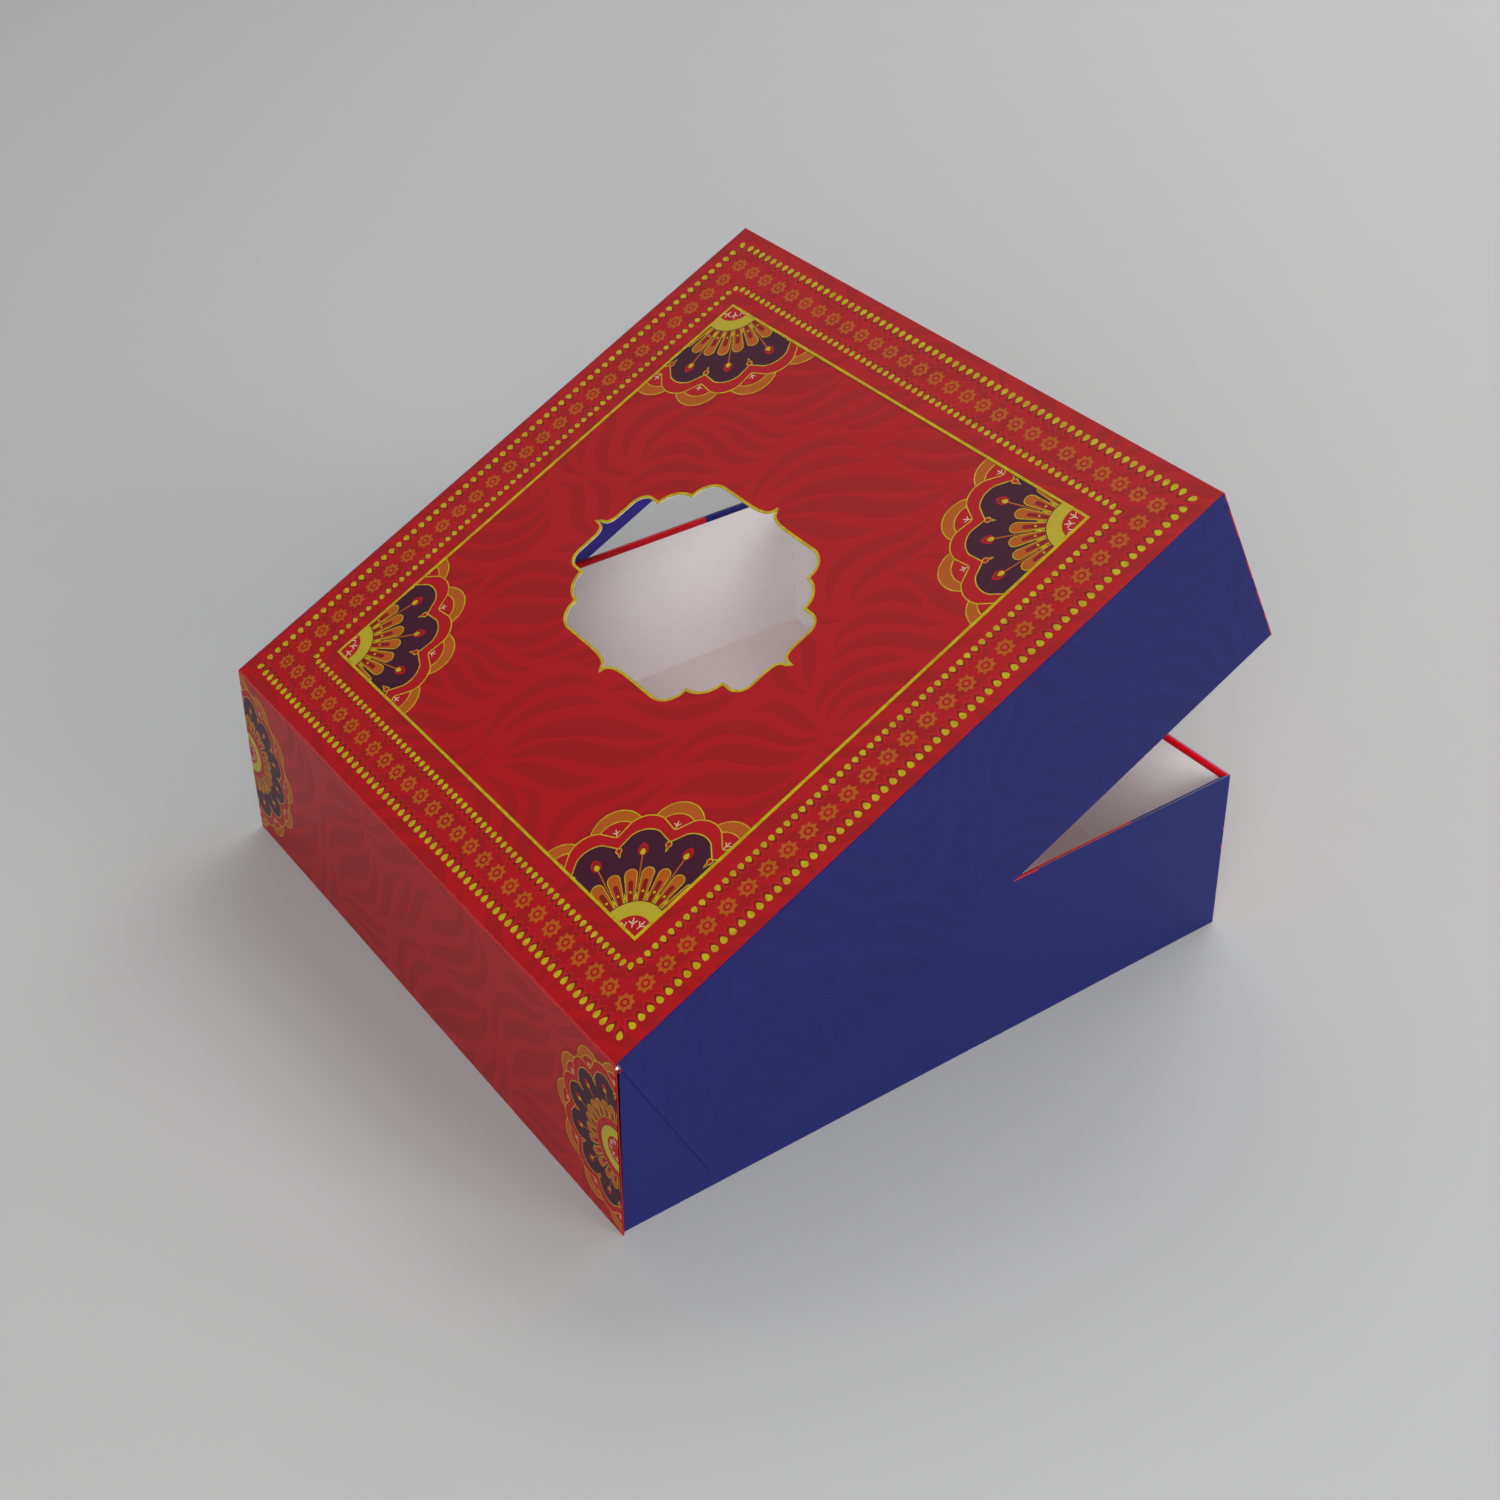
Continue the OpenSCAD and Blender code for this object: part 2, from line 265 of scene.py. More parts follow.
def grain_group():
    """Paper grain: cloudy ink, fine fibres and speckle."""
    group, taken, given = new_group(
        "Paper grain",
        [("Colour", "Color", (0.5, 0.5, 0.5, 1)), ("Clouds", "Float", 0.05), ("Fibres", "Float", 0.03),
         ("Gloss spread", "Float", 0.08), ("Roughness", "Float", 0.4)],
        [("Colour", "Color"), ("Roughness", "Float"), ("Height", "Float")],
    )
    where = add(group, "TexCoord").outputs["Object"]
    clouds = add(group, "TexNoise", {"Vector": where, "Scale": 38, "Detail": 3, "Roughness": 0.55}).outputs[0]
    lengthways = add(group, "Mapping", {"Vector": where, "Scale": (1, 0.22, 1), "Rotation": (0.4, 0.5, 0.35)}).outputs[0]
    fibres = add(group, "TexNoise", {"Vector": lengthways, "Scale": 1500, "Detail": 5, "Roughness": 0.62}).outputs[0]
    speckle = add(group, "TexNoise", {"Vector": where, "Scale": 3200, "Detail": 2, "Roughness": 0.5}).outputs[0]
    cloud_shift = maths(group, "MULTIPLY", maths(group, "SUBTRACT", clouds, 0.5), taken.outputs["Clouds"])
    fibre_shift = maths(group, "MULTIPLY", maths(group, "SUBTRACT", fibres, 0.5), taken.outputs["Fibres"])
    shift = maths(group, "ADD", maths(group, "ADD", cloud_shift, fibre_shift), 1.0)
    scaled = add(group, "VectorMath", {0: taken.outputs["Colour"], "Scale": shift}, operation="SCALE")
    group.links.new(scaled.outputs[0], given.inputs["Colour"])
    gloss = maths(group, "MULTIPLY", maths(group, "SUBTRACT", fibres, 0.5), taken.outputs["Gloss spread"])
    rough = maths(group, "ADD", gloss, taken.outputs["Roughness"])
    group.links.new(rough, given.inputs["Roughness"])
    height = maths(group, "ADD", maths(group, "MULTIPLY", speckle, 0.4), maths(group, "MULTIPLY", fibres, 0.6))
    group.links.new(height, given.inputs["Height"])
    return group


def crease_group():
    """Painted light along creases: a mask that is 1 at a sharp fold and fades over the radius, used for a painted
    highlight on print and painted shade on bare board.
    """
    group, taken, given = new_group(
        "Crease painted_light", [("Radius", "Float", 0.0005), ("Amount", "Float", 1.0)], [("Mask", "Float")],
    )
    rounded = add(group, "Bevel", {"Radius": taken.outputs["Radius"]}, samples=6).outputs[0]
    flat = add(group, "NewGeometry").outputs["Normal"]
    turn = add(group, "VectorMath", {0: rounded, 1: flat}, operation="DOT_PRODUCT").outputs["Value"]
    painted_crease = ramp(group, turn, 0.985, 0.80)
    where = add(group, "TexCoord").outputs["Object"]
    patches = add(group, "TexNoise", {"Vector": where, "Scale": 260, "Detail": 4}).outputs[0]
    broken = ramp(group, patches, 0.30, 0.62, 0.55, 1.0)
    mask = maths(group, "MULTIPLY", maths(group, "MULTIPLY", painted_crease, broken), taken.outputs["Amount"], clamp=True)
    group.links.new(mask, given.inputs["Mask"])
    return group


def side_group():
    """Which side of a panel is bare: 1 where the face looks along the inward direction."""
    group, taken, given = new_group("Bare side", [("Inward", "Vector", (0, 0, -1))], [("Mask", "Float")])
    facing = add(group, "TexCoord").outputs["Normal"]
    along = add(group, "VectorMath", {0: facing, 1: taken.outputs["Inward"]}, operation="DOT_PRODUCT")
    group.links.new(maths(group, "GREATER_THAN", along.outputs["Value"], 0.5), given.inputs["Mask"])
    return group


def use_group(tree, name, **inputs):
    made = add(tree, "Group", node_tree=bpy.data.node_groups[name])
    for label, value in inputs.items():
        socket = made.inputs[label.replace("_", " ")]
        if isinstance(value, bpy.types.NodeSocket):
            tree.links.new(value, socket)
        else:
            socket.default_value = value
    return made


def opaque(colour):
    return (*colour, 1.0)


def start_material(name):
    made = bpy.data.materials.new(name)
    made.use_nodes = True
    return made, made.node_tree, made.node_tree.nodes["Principled BSDF"]


def finish_paper(tree, shader, colour, roughness, clouds, fibres, spread_of_gloss, bump):
    """Grain over a colour, and the shader's colour, roughness and normal from it."""
    grain = use_group(
        tree, "Paper grain", Colour=colour, Clouds=clouds, Fibres=fibres,
        Gloss_spread=spread_of_gloss, Roughness=roughness,
    )
    relief = add(tree, "Bump", {"Height": grain.outputs["Height"], "Strength": bump, "Distance": 0.00006})
    tree.links.new(grain.outputs["Colour"], shader.inputs["Base Color"])
    tree.links.new(grain.outputs["Roughness"], shader.inputs["Roughness"])
    tree.links.new(relief.outputs[0], shader.inputs["Normal"])


PRINT_GLOSS = 0.2
NAVY_FROM = -71 * MM


def board_material(name, ink, inward, painted_crease, painted_light=0.6, edge=None, ends=None, inner=None):
    """A printed panel: coated ink on its outer face, bare board or another ink on its inner face, and a lighter
    colour at its creases as a painted highlight. The top edge can have a colour at the rear and one at the front,
    used for a painted sheen on the side walls and a painted highlight on the front wall, and the ends another."""
    if inner is None:
        inner = bpy.context.scene.sweet_box_inks.board
    made, tree, shader = start_material(name)
    crease = use_group(tree, "Crease painted_light", Radius=0.00055, Amount=painted_light).outputs["Mask"]
    # Painted highlight: the creases take the lighter colour.
    printed = mixed(tree, crease, opaque(ink), opaque(painted_crease))
    if edge:
        place = add(tree, "TexCoord")
        at_top = use_group(tree, "Bare side", Inward=(0, 0, 1)).outputs["Mask"]
        along = add(tree, "SeparateXYZ", {0: place.outputs["Object"]}).outputs["Y"]
        forward = maths(tree, "LESS_THAN", along, NAVY_FROM)
        printed = mixed(tree, at_top, printed, mixed(tree, forward, opaque(edge[0]), opaque(edge[1])))
    if ends:
        for way in ((1, 0, 0), (-1, 0, 0)):
            at_end = use_group(tree, "Bare side", Inward=way).outputs["Mask"]
            printed = mixed(tree, at_end, printed, opaque(ends))
    bare = use_group(tree, "Bare side", Inward=inward).outputs["Mask"]
    colour = mixed(tree, bare, printed, opaque(inner))
    rough = ramp(tree, bare, 0, 1, 0.40, 0.78, smooth=False)
    finish_paper(tree, shader, colour, rough, 0.05, 0.05, 0.10, 0.25)
    shader.inputs["Specular IOR Level"].default_value = PRINT_GLOSS
    return made


def ink_material(name, colour, roughness=0.42, second=None, gloss=PRINT_GLOSS):
    """One ink of the ornament. With a second colour it is mottled from one to the other."""
    made, tree, shader = start_material(name)
    body = opaque(colour)
    if second is not None:
        where = add(tree, "TexCoord").outputs["Object"]
        mottle = add(tree, "TexNoise", {"Vector": where, "Scale": 420, "Detail": 2}).outputs[0]
        body = mixed(tree, ramp(tree, mottle, 0.35, 0.65), opaque(colour), opaque(second))
    finish_paper(tree, shader, body, roughness, 0.06, 0.06, 0.12, 0.2)
    shader.inputs["Specular IOR Level"].default_value = gloss
    return made


# Outlines, in millimetres.


def ccw(outline):
    """The outline, turning left."""
    area = sum(a[0] * b[1] - b[0] * a[1] for a, b in zip(outline, outline[1:] + outline[:1]))
    return outline if area > 0 else outline[::-1]


def grown(outline, by):
    """The outline moved outwards by a distance, with mitred corners."""
    loop = ccw(list(outline))
    moved = []
    for i, point in enumerate(loop):
        before, after = Vector(loop[i - 1]), Vector(loop[(i + 1) % len(loop)])
        here = Vector(point)
        first = (here - before).normalized()
        second = (after - here).normalized()
        out_first, out_second = Vector((first.y, -first.x)), Vector((second.y, -second.x))
        middle = out_first + out_second
        if middle.length < 0.3:
            middle = out_first
        middle.normalize()
        moved.append(tuple(here + middle * by / max(0.38, middle.dot(out_first))))
    return moved


def moved(outline, x, y, angle=0.0, size=1.0):
    """The outline scaled, turned by an angle in degrees, and moved."""
    c, s = math.cos(math.radians(angle)) * size, math.sin(math.radians(angle)) * size
    return [(x + c * a - s * b, y + s * a + c * b) for a, b in outline]


def disc(radius, x=0.0, y=0.0, steps=48):
    turn = 2 * math.pi / steps
    return [(x + radius * math.cos(i * turn), y + radius * math.sin(i * turn)) for i in range(steps)]


def drop(length, width, point=0.62, steps=22):
    """A teardrop round its middle, with its point towards +x."""
    made = []
    for i in range(steps):
        t = 2 * math.pi * i / steps
        made.append((length / 2 * math.cos(t), width / 2 * math.sin(t) * abs(math.sin(t / 2)) ** point * 1.13))
    return made


def star(tip, valley, points=8, steps=4, hollow=0.16):
    """A star whose sides curve inwards between tips and valleys."""
    made = []
    for k in range(points * 2):
        near, far = (tip, valley) if k % 2 == 0 else (valley, tip)
        start, end = math.pi * k / points, math.pi * (k + 1) / points
        for i in range(steps):
            t = i / steps
            radius = near + (far - near) * t - hollow * math.sin(math.pi * t)
            angle = start + (end - start) * t
            made.append((radius * math.cos(angle), radius * math.sin(angle)))
    return made


def curve_through(points, steps):
    """Points along a smooth line through the given ones."""
    ends = [tuple(2 * a - b for a, b in zip(points[0], points[1]))]
    ends += list(points) + [tuple(2 * a - b for a, b in zip(points[-1], points[-2]))]
    made = []
    for i in range(1, len(ends) - 2):
        p = [Vector(q) for q in ends[i - 1 : i + 3]]
        for k in range(steps):
            t = k / steps
            made.append(0.5 * (
                2 * p[1] + (p[2] - p[0]) * t + (2 * p[0] - 5 * p[1] + 4 * p[2] - p[3]) * t * t
                + (3 * p[1] - p[0] - 3 * p[2] + p[3]) * t ** 3
            ))
    return made + [Vector(points[-1])]


def stroke(width, points, fullness=0.75, steps=5):
    """A brush stroke: pointed at both ends and full in the middle."""
    line = curve_through(points, steps)
    run = [0.0]
    for a, b in zip(line, line[1:]):
        run.append(run[-1] + (b - a).length)
    left, right = [], []
    for i, here in enumerate(line):
        way = (line[min(i + 1, len(line) - 1)] - line[max(i - 1, 0)]).normalized()
        half = width / 2 * math.sin(math.pi * min(1.0, run[i] / run[-1])) ** fullness
        aside = Vector((-way.y, way.x)) * half
        left.append(tuple(here + aside))
        right.append(tuple(here - aside))
    return left + right[-2:0:-1]


# Thin printed slabs.


def stamp(mesh, face, shapes, low, high, ink=0, holes=(), within=None):
    """Adds thin closed slabs to a mesh: the shapes, less the holes, inside one trimming outline."""
    outlines = [ccw(list(o)) for o in [*shapes, *holes, *([within] if within else [])]]
    points, loops = [], []
    for o in outlines:
        loops.append(list(range(len(points), len(points) + len(o))))
        points += [Vector(p) for p in o]
    flat, _, faces, _, _, sources = delaunay_2d_cdt(points, [], loops, 1, 1e-5)
    cut, trim = len(shapes), len(shapes) + len(holes)
    kept = []
    for corners, source in zip(faces, sources):
        inside = any(s < cut for s in source) and not any(cut <= s < trim for s in source)
        if inside and (within is None or trim in source):
            kept.append(tuple(corners))
    used = sorted({i for corners in kept for i in corners})
    upper = {i: mesh.verts.new(face.place(flat[i].x, flat[i].y, high)) for i in used}
    lower = {i: mesh.verts.new(face.place(flat[i].x, flat[i].y, low)) for i in used}
    sides = {}
    for corners in kept:
        for a, b in zip(corners, corners[1:] + corners[:1]):
            sides[(a, b)] = sides.get((a, b), 0) + 1
        mesh.faces.new([upper[i] for i in corners]).material_index = ink
        mesh.faces.new([lower[i] for i in reversed(corners)]).material_index = ink
    for a, b in sides:
        if (b, a) not in sides:
            mesh.faces.new([upper[b], upper[a], lower[a], lower[b]]).material_index = ink


def print_piece(name, mesh, body, slot, *materials):
    """Turns a finished mesh into a named piece on a body."""
    bmesh.ops.recalc_face_normals(mesh, faces=mesh.faces)
    data = bpy.data.meshes.new(name)
    mesh.to_mesh(data)
    mesh.free()
    for material in materials:
        data.materials.append(material)
    piece = bpy.data.objects.new(name, data)
    bpy.context.scene.collection.objects.link(piece)
    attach(piece, body)
    return piece


def layer(step):
    """Height in millimetres of the top of an ink layer."""
    return step * bpy.context.scene.sweet_box_print.ink / MM


SINK = -0.05


# Leaves.

# Each leaf: its greatest width, then the points that its middle line runs through, within one repeat.
LEAVES = (
    (5.0, (22.8, 45.0), (24.6, 40.0), (29.0, 35.2), (36.0, 32.2), (44.0, 28.7), (50.3, 23.0), (53.3, 17.0), (52.7, 11.0)),
    (4.3, (35.0, 41.0), (38.8, 38.4), (46.0, 36.0), (52.7, 32.4), (57.2, 27.0), (58.5, 21.0), (56.5, 16.0)),
    (4.8, (44.3, 41.0), (49.0, 41.7), (55.0, 40.4), (59.5, 36.8), (61.9, 32.0), (62.2, 28.4)),
    (4.4, (26.5, 52.5), (29.5, 49.3), (34.0, 46.9), (41.0, 46.3), (48.0, 47.3), (54.0, 47.8), (58.5, 46.8), (61.5, 44.8)),
    (3.8, (26.0, 57.8), (29.5, 55.2), (34.0, 53.4), (40.0, 53.1), (46.0, 54.0), (50.0, 53.5), (53.2, 51.8)),
    (3.6, (24.8, 66.2), (28.0, 62.4), (33.0, 59.9), (41.0, 59.1), (49.0, 58.7), (55.0, 57.3), (58.8, 54.8), (60.4, 52.0)),
    (4.5, (34.4, 26.4), (40.5, 22.5), (45.0, 16.5), (47.0, 9.5), (46.6, 3.8), (44.2, -0.4), (41.3, -2.2)),
    (4.6, (38.3, -1.9), (40.6, 2.5), (40.9, 8.0), (38.8, 13.5), (34.0, 18.8), (28.0, 23.4), (22.0, 27.8),
     (18.7, 32.0), (18.8, 37.6)),
    (5.0, (35.5, -0.5), (34.7, 6.0), (31.0, 12.0), (25.5, 17.0), (19.5, 21.0), (14.0, 25.5), (11.4, 31.0), (11.0, 38.4)),
    (5.3, (33.8, -4.8), (29.0, -1.0), (24.5, 4.0), (19.0, 9.0), (12.0, 12.7), (3.0, 14.4), (-5.0, 14.0),
     (-11.0, 11.8), (-16.5, 7.5), (-21.4, 2.8)),
    (4.8, (33.3, -9.6), (27.0, -7.6), (22.0, -3.9), (17.0, 0.5), (10.0, 4.6), (4.0, 6.4), (-2.0, 7.5), (-9.4, 7.3)),
    (6.4, (32.5, 98.3), (24.5, 97.0), (17.0, 99.2), (9.0, 104.5), (1.0, 109.2), (-5.0, 111.3), (-11.0, 111.7),
     (-16.0, 109.8), (-19.3, 107.0), (-21.1, 104.3)),
    (4.6, (77.0, 14.3), (82.0, 12.3), (87.5, 12.0), (93.0, 15.0), (98.0, 19.3), (104.0, 23.8), (110.0, 26.1),
     (115.5, 25.8), (120.9, 22.1)),
    (4.2, (81.0, 15.7), (86.0, 17.2), (90.3, 21.8), (94.5, 27.8), (100.0, 31.3), (106.0, 32.0), (110.5, 31.7),
     (114.1, 30.3)),
    (4.8, (62.4, 24.1), (66.5, 21.0), (72.5, 19.6), (78.0, 21.0), (83.0, 25.5), (87.3, 31.5), (91.5, 35.3),
     (96.0, 36.4), (101.3, 35.1)),
    (5.0, (50.8, 0.5), (56.0, -0.7), (62.0, -0.3), (67.0, 2.6), (71.0, 6.2), (75.0, 7.9), (79.0, 7.6), (82.8, 5.5)),
    (4.6, (50.7, 3.0), (54.5, 4.0), (58.5, 7.8), (62.5, 11.4), (67.0, 13.1), (71.0, 12.9), (74.8, 11.6)),
    (4.7, (65.4, 30.1), (67.9, 35.0), (68.5, 41.0), (66.7, 48.0), (64.0, 55.0), (62.7, 60.5), (62.5, 66.0)),
    (4.9, (69.5, 26.0), (74.5, 29.3), (78.3, 34.5), (79.0, 40.0), (77.2, 46.0), (73.2, 52.3), (70.0, 58.0), (68.8, 65.6)),
    (6.2, (81.2, 53.3), (85.5, 48.5), (91.5, 44.9), (98.0, 43.0), (104.5, 41.0), (111.5, 37.0)),
    (7.0, (71.7, 79.0), (73.6, 71.5), (78.5, 64.0), (86.0, 59.0), (93.5, 55.8), (100.5, 52.2), (106.5, 47.4),
     (113.8, 38.8)),
    (7.0, (75.0, 75.5), (82.0, 71.6), (90.0, 67.6), (98.0, 63.7), (105.0, 58.4), (110.5, 53.0), (114.3, 47.0),
     (116.0, 40.0)),
    (4.6, (13.0, 43.8), (12.2, 50.0), (10.0, 57.0), (6.0, 62.5), (0.0, 67.3), (-6.1, 70.1)),
    (4.6, (15.3, 38.2), (18.3, 43.5), (19.3, 49.5), (18.8, 56.0), (16.8, 62.3), (13.0, 67.8), (8.0, 71.4),
     (4.0, 72.7), (0.1, 72.9)),
    (4.4, (14.5, 75.2), (9.0, 77.6), (5.0, 83.0), (2.2, 89.5), (-1.0, 95.5), (-4.5, 98.3), (-10.0, 98.8)),
    (4.2, (22.0, 71.3), (17.0, 75.3), (13.0, 80.3), (10.6, 86.0), (8.0, 91.5), (5.0, 96.5), (1.0, 100.4)),
    (4.8, (34.2, 65.7), (28.0, 69.3), (24.4, 75.0), (22.3, 81.0), (19.8, 86.7), (15.5, 91.8), (9.8, 96.1)),
    (4.6, (53.2, 62.6), (45.0, 65.2), (38.5, 68.3), (33.8, 73.3), (30.8, 79.5), (29.7, 85.5), (29.6, 91.0)),
    (8.2, (57.8, 63.0), (53.8, 70.0), (48.2, 75.0), (42.0, 78.5), (37.5, 82.6), (32.2, 91.2)),
    (6.6, (62.0, 72.2), (59.2, 79.0), (54.0, 83.7), (48.0, 86.7), (42.5, 89.2), (38.0, 92.5), (34.3, 97.8)),
    (4.7, (66.0, 68.1), (67.1, 75.0), (66.2, 81.5), (63.0, 87.3), (57.0, 91.7), (50.0, 94.6), (43.0, 96.2),
     (38.5, 98.8), (35.2, 103.6)),
    (4.8, (59.3, 97.0), (55.5, 101.8), (50.0, 103.2), (44.0, 103.1), (36.8, 104.7)),
    (4.8, (98.5, 75.9), (90.0, 77.5), (82.0, 80.8), (75.5, 85.8), (71.3, 92.0), (70.5, 98.8), (74.0, 107.2)),
    (5.2, (105.8, 73.0), (102.5, 79.0), (96.0, 82.2), (89.0, 85.5), (82.0, 90.0), (78.0, 95.0), (76.5, 101.0),
     (77.4, 108.7)),
    (4.9, (104.3, 84.2), (100.5, 89.5), (93.5, 93.2), (87.5, 97.2), (83.3, 102.0), (82.4, 107.0), (85.0, 113.8)),
)


def one_repeat():
    """The leaves and their small nicks in one repeat of the pattern."""
    leaves = [stroke(leaf[0], leaf[1:]) for leaf in LEAVES]
    draw = random.Random(7)
    nicks = []
    for leaf in leaves:
        for _ in range(draw.choice((1, 1, 2))):
            k = draw.randrange(3, len(leaf) - 3)
            a, b = Vector(leaf[k]), Vector(leaf[k + 1])
            way = (b - a).normalized()
            spot = a + Vector((way.y, -way.x)) * draw.uniform(-0.5, 0.9)
            nick = [(0.7, 0), (0, 0.25), (-0.7, 0), (0, -0.25)]
            angle = math.degrees(math.atan2(way.y, way.x)) + draw.uniform(30, 100)
            nicks.append(moved(nick, spot.x, spot.y, angle, draw.uniform(0.4, 0.8)))
    return leaves, nicks


def leaf_piece(name, face, body, slot, size, to_panel, hole=None, inks=(), start=0.0):
    """Leaves over a panel of the given width and height, trimmed at its edges, at its start and at a hole."""
    sizes = bpy.context.scene.sweet_box_print
    across, down = sizes.repeat_across / MM, sizes.repeat_down / MM
    leaves, nicks = one_repeat()
    margin = 0.15
    left, top, right, foot = margin, start + margin, size[0] - margin, size[1] - margin
    sheet = [(left, top), (right, top), (right, foot), (left, foot)]
    mesh = bmesh.new()
    for shapes, step, ink in ((leaves, 1, 0), (nicks, 2, 1)):
        spread_out = []
        for i in range(-4, 5):
            for j in range(-4, 5):
                for shape in shapes:
                    there = [to_panel(x + i * across, y + j * down) for x, y in shape]
                    xs, ys = [p[0] for p in there], [p[1] for p in there]
                    if max(xs) > left and min(xs) < right and max(ys) > top and min(ys) < foot:
                        spread_out.append(there)
        stamp(mesh, face, spread_out, SINK, layer(step), ink, [hole] if hole else [], sheet)
    return print_piece(name, mesh, body, slot, *inks)


# The rosette.


def sprig(scale=1.0):
    """A little sprig that grows along +x: a stem with a bud and a tip, and a knobbed twig on each side."""
    parts = [
        [(-1.5, -0.17), (-0.5, -0.13), (1.2, -0.12), (1.2, 0.12), (-0.5, 0.13), (-1.5, 0.17)],
        [(0.15, 0), (0.6, -0.38), (1.0, 0), (0.6, 0.38)],
        disc(0.23, 1.35, 0, 10),
    ]
    for side in (1, -1):
        twig = [(-0.8, 0), (-0.4, 0.15 * side), (0.05, 0.6 * side), (0.4, 1.15 * side)]
        parts += [stroke(0.34, twig, 0.3, 3), disc(0.23, 0.42, 1.18 * side, 10)]
    return [moved(part, 0, 0, 0, scale) for part in parts]


def petal(reach=22.2, start=11.0, narrow=1.05, wide=2.05):
    """A petal along +x with a round end."""
    middle = reach - wide
    made = [(start, -narrow), (start + 4.5, -narrow - (wide - narrow) * 0.62)]
    for i in range(13):
        angle = math.radians(-90 + 15 * i)
        made.append((middle + wide * math.cos(angle), wide * math.sin(angle)))
    return made + [(start + 4.5, narrow + (wide - narrow) * 0.62), (start, narrow)]


def scallop(cusp, corner, shoulder, peak):
    """A scalloped ring outline of twelve lobes: the cusp's radius, and half a lobe's points and peak."""
    radius = ((peak - shoulder[1]) ** 2 + shoulder[0] ** 2) / (2 * (peak - shoulder[1]))
    middle = peak - radius
    reach = math.asin(min(1.0, shoulder[0] / radius))
    lobe = [(corner[1], -corner[0]), (shoulder[1], -shoulder[0])]
    for i in range(1, 10):
        angle = reach * (i / 5 - 1)
        lobe.append((middle + radius * math.cos(angle), radius * math.sin(angle)))
    lobe += [(shoulder[1], shoulder[0]), (corner[1], corner[0])]
    made = []
    for k in range(12):
        made.append((cusp * math.cos(math.radians(30 * k)), cusp * math.sin(math.radians(30 * k))))
        made += moved(lobe, 0, 0, 30 * k + 15)
    return made


def round_about(shapes, count, first=0.0):
    """Copies of shapes that lie along +x, turned round the middle."""
    return [moved(shape, 0, 0, first + 360 / count * k) for k in range(count) for shape in shapes]


def rosette_layers(red_hub):
    """The rosette from the bottom up: ink, shapes and holes of each layer, round its own middle.
    With a red hub a red band lies between the petals and the gold ring."""
    outer = scallop(34.6, (8.35, 33.9), (5.06, 37.95), 39.65)
    inner = scallop(30.5, (7.3, 30.1), (4.4, 33.55), 34.95)
    lamp = moved(drop(4.3, 3.3, 0.42), 28.35, 0)
    glow = moved(drop(3.3, 2.3, 0.5), 27.9, 0)
    flame = moved(drop(2.2, 1.7, 0.45), 27.45, 0)
    stem = [(15.0, -0.17), (26.8, -0.24), (26.8, 0.24), (15.0, 0.17)]
    slot = [(10.8, -0.66), (12.4, -0.7)] + [
        (17.5 + 0.76 * math.cos(math.radians(a)), 0.76 * math.sin(math.radians(a))) for a in range(-90, 91, 18)
    ] + [(12.4, 0.7), (10.8, 0.66)]
    wedge = [(11.1, -0.66), (11.5, -0.58), (14.4, -0.08), (14.4, 0.08), (11.5, 0.58), (11.1, 0.66)]
    wedge_eye = [(11.55, -0.22), (12.5, -0.05), (12.5, 0.05), (11.55, 0.22)]
    bar = [(10.8, -0.68), (11.3, -0.68), (11.3, 0.68), (10.8, 0.68)]
    bead_tip = moved(drop(2.5, 1.1, 0.9), 28.3, 0, 180)
    bead_tip_fill = moved(drop(1.6, 0.56, 0.9), 28.35, 0, 180)
    sprigs = [moved(part, 36.15, 0) for part in sprig(0.82)]
    heart = [moved(part, 4.15, 0) for part in sprig()]
    if red_hub:
        hub = (
            ("red", [disc(14.3, 0, 0, 72)], []),
            ("gold", round_about([moved(star(0.38, 0.32, 4, 2, 0.0), 14.5, 0)], 24, 7.5), []),
            ("purple", [disc(11.25, 0, 0, 72)], []),
        )
    else:
        hub = (
            ("gold", round_about([wedge], 24), []),
            ("purple", round_about([wedge_eye, bar], 24), []),
            ("gold", round_about([moved(star(0.44, 0.38, 4, 2, 0.0), 14.3, 0)], 24, 7.5), []),
        )
    return (
        ("gold", round_about([disc(8.66, 35.4)], 12), []),
        ("orange", round_about([disc(8.3, 35.4)], 12), []),
        ("gold", round_about([disc(7.16, 33.0)], 12), []),
        ("red", round_about([disc(6.8, 33.0)], 12), []),
        ("sprig", round_about(sprigs, 12), []),
        ("gold", [grown(outer, 0.2)], []),
        ("red", [grown(outer, -0.19)], []),
        ("gold", [grown(inner, 0.2)], []),
        ("purple", [grown(inner, -0.19)], []),
        ("gold", round_about([bead_tip, disc(1.08, 29.65, 0, 20)], 12), []),
        ("red", round_about([bead_tip_fill, disc(0.74, 29.65, 0, 20)], 12), []),
        ("orange", round_about([stem], 12, 15), []),
        ("red", round_about([lamp], 12, 15), []),
        ("deep_red", round_about([glow], 12, 15), []),
        ("gold", round_about([flame], 12, 15), []),
        ("gold", round_about([petal()], 24, 7.5), []),
        ("orange", round_about([petal(21.92, 11.0, 0.84, 1.77)], 24, 7.5), []),
        ("deep_red", round_about([slot], 24, 7.5), []),
        *hub,
        ("pale_gold", [disc(10.96, 0, 0, 72)], []),
        ("red", [disc(6.46, 0, 0, 60)], []),
        ("sprig", round_about(heart, 9, 10), []),
    )


ROSETTE_INKS = ("gold", "orange", "red", "sprig", "purple", "deep_red", "pale_gold")


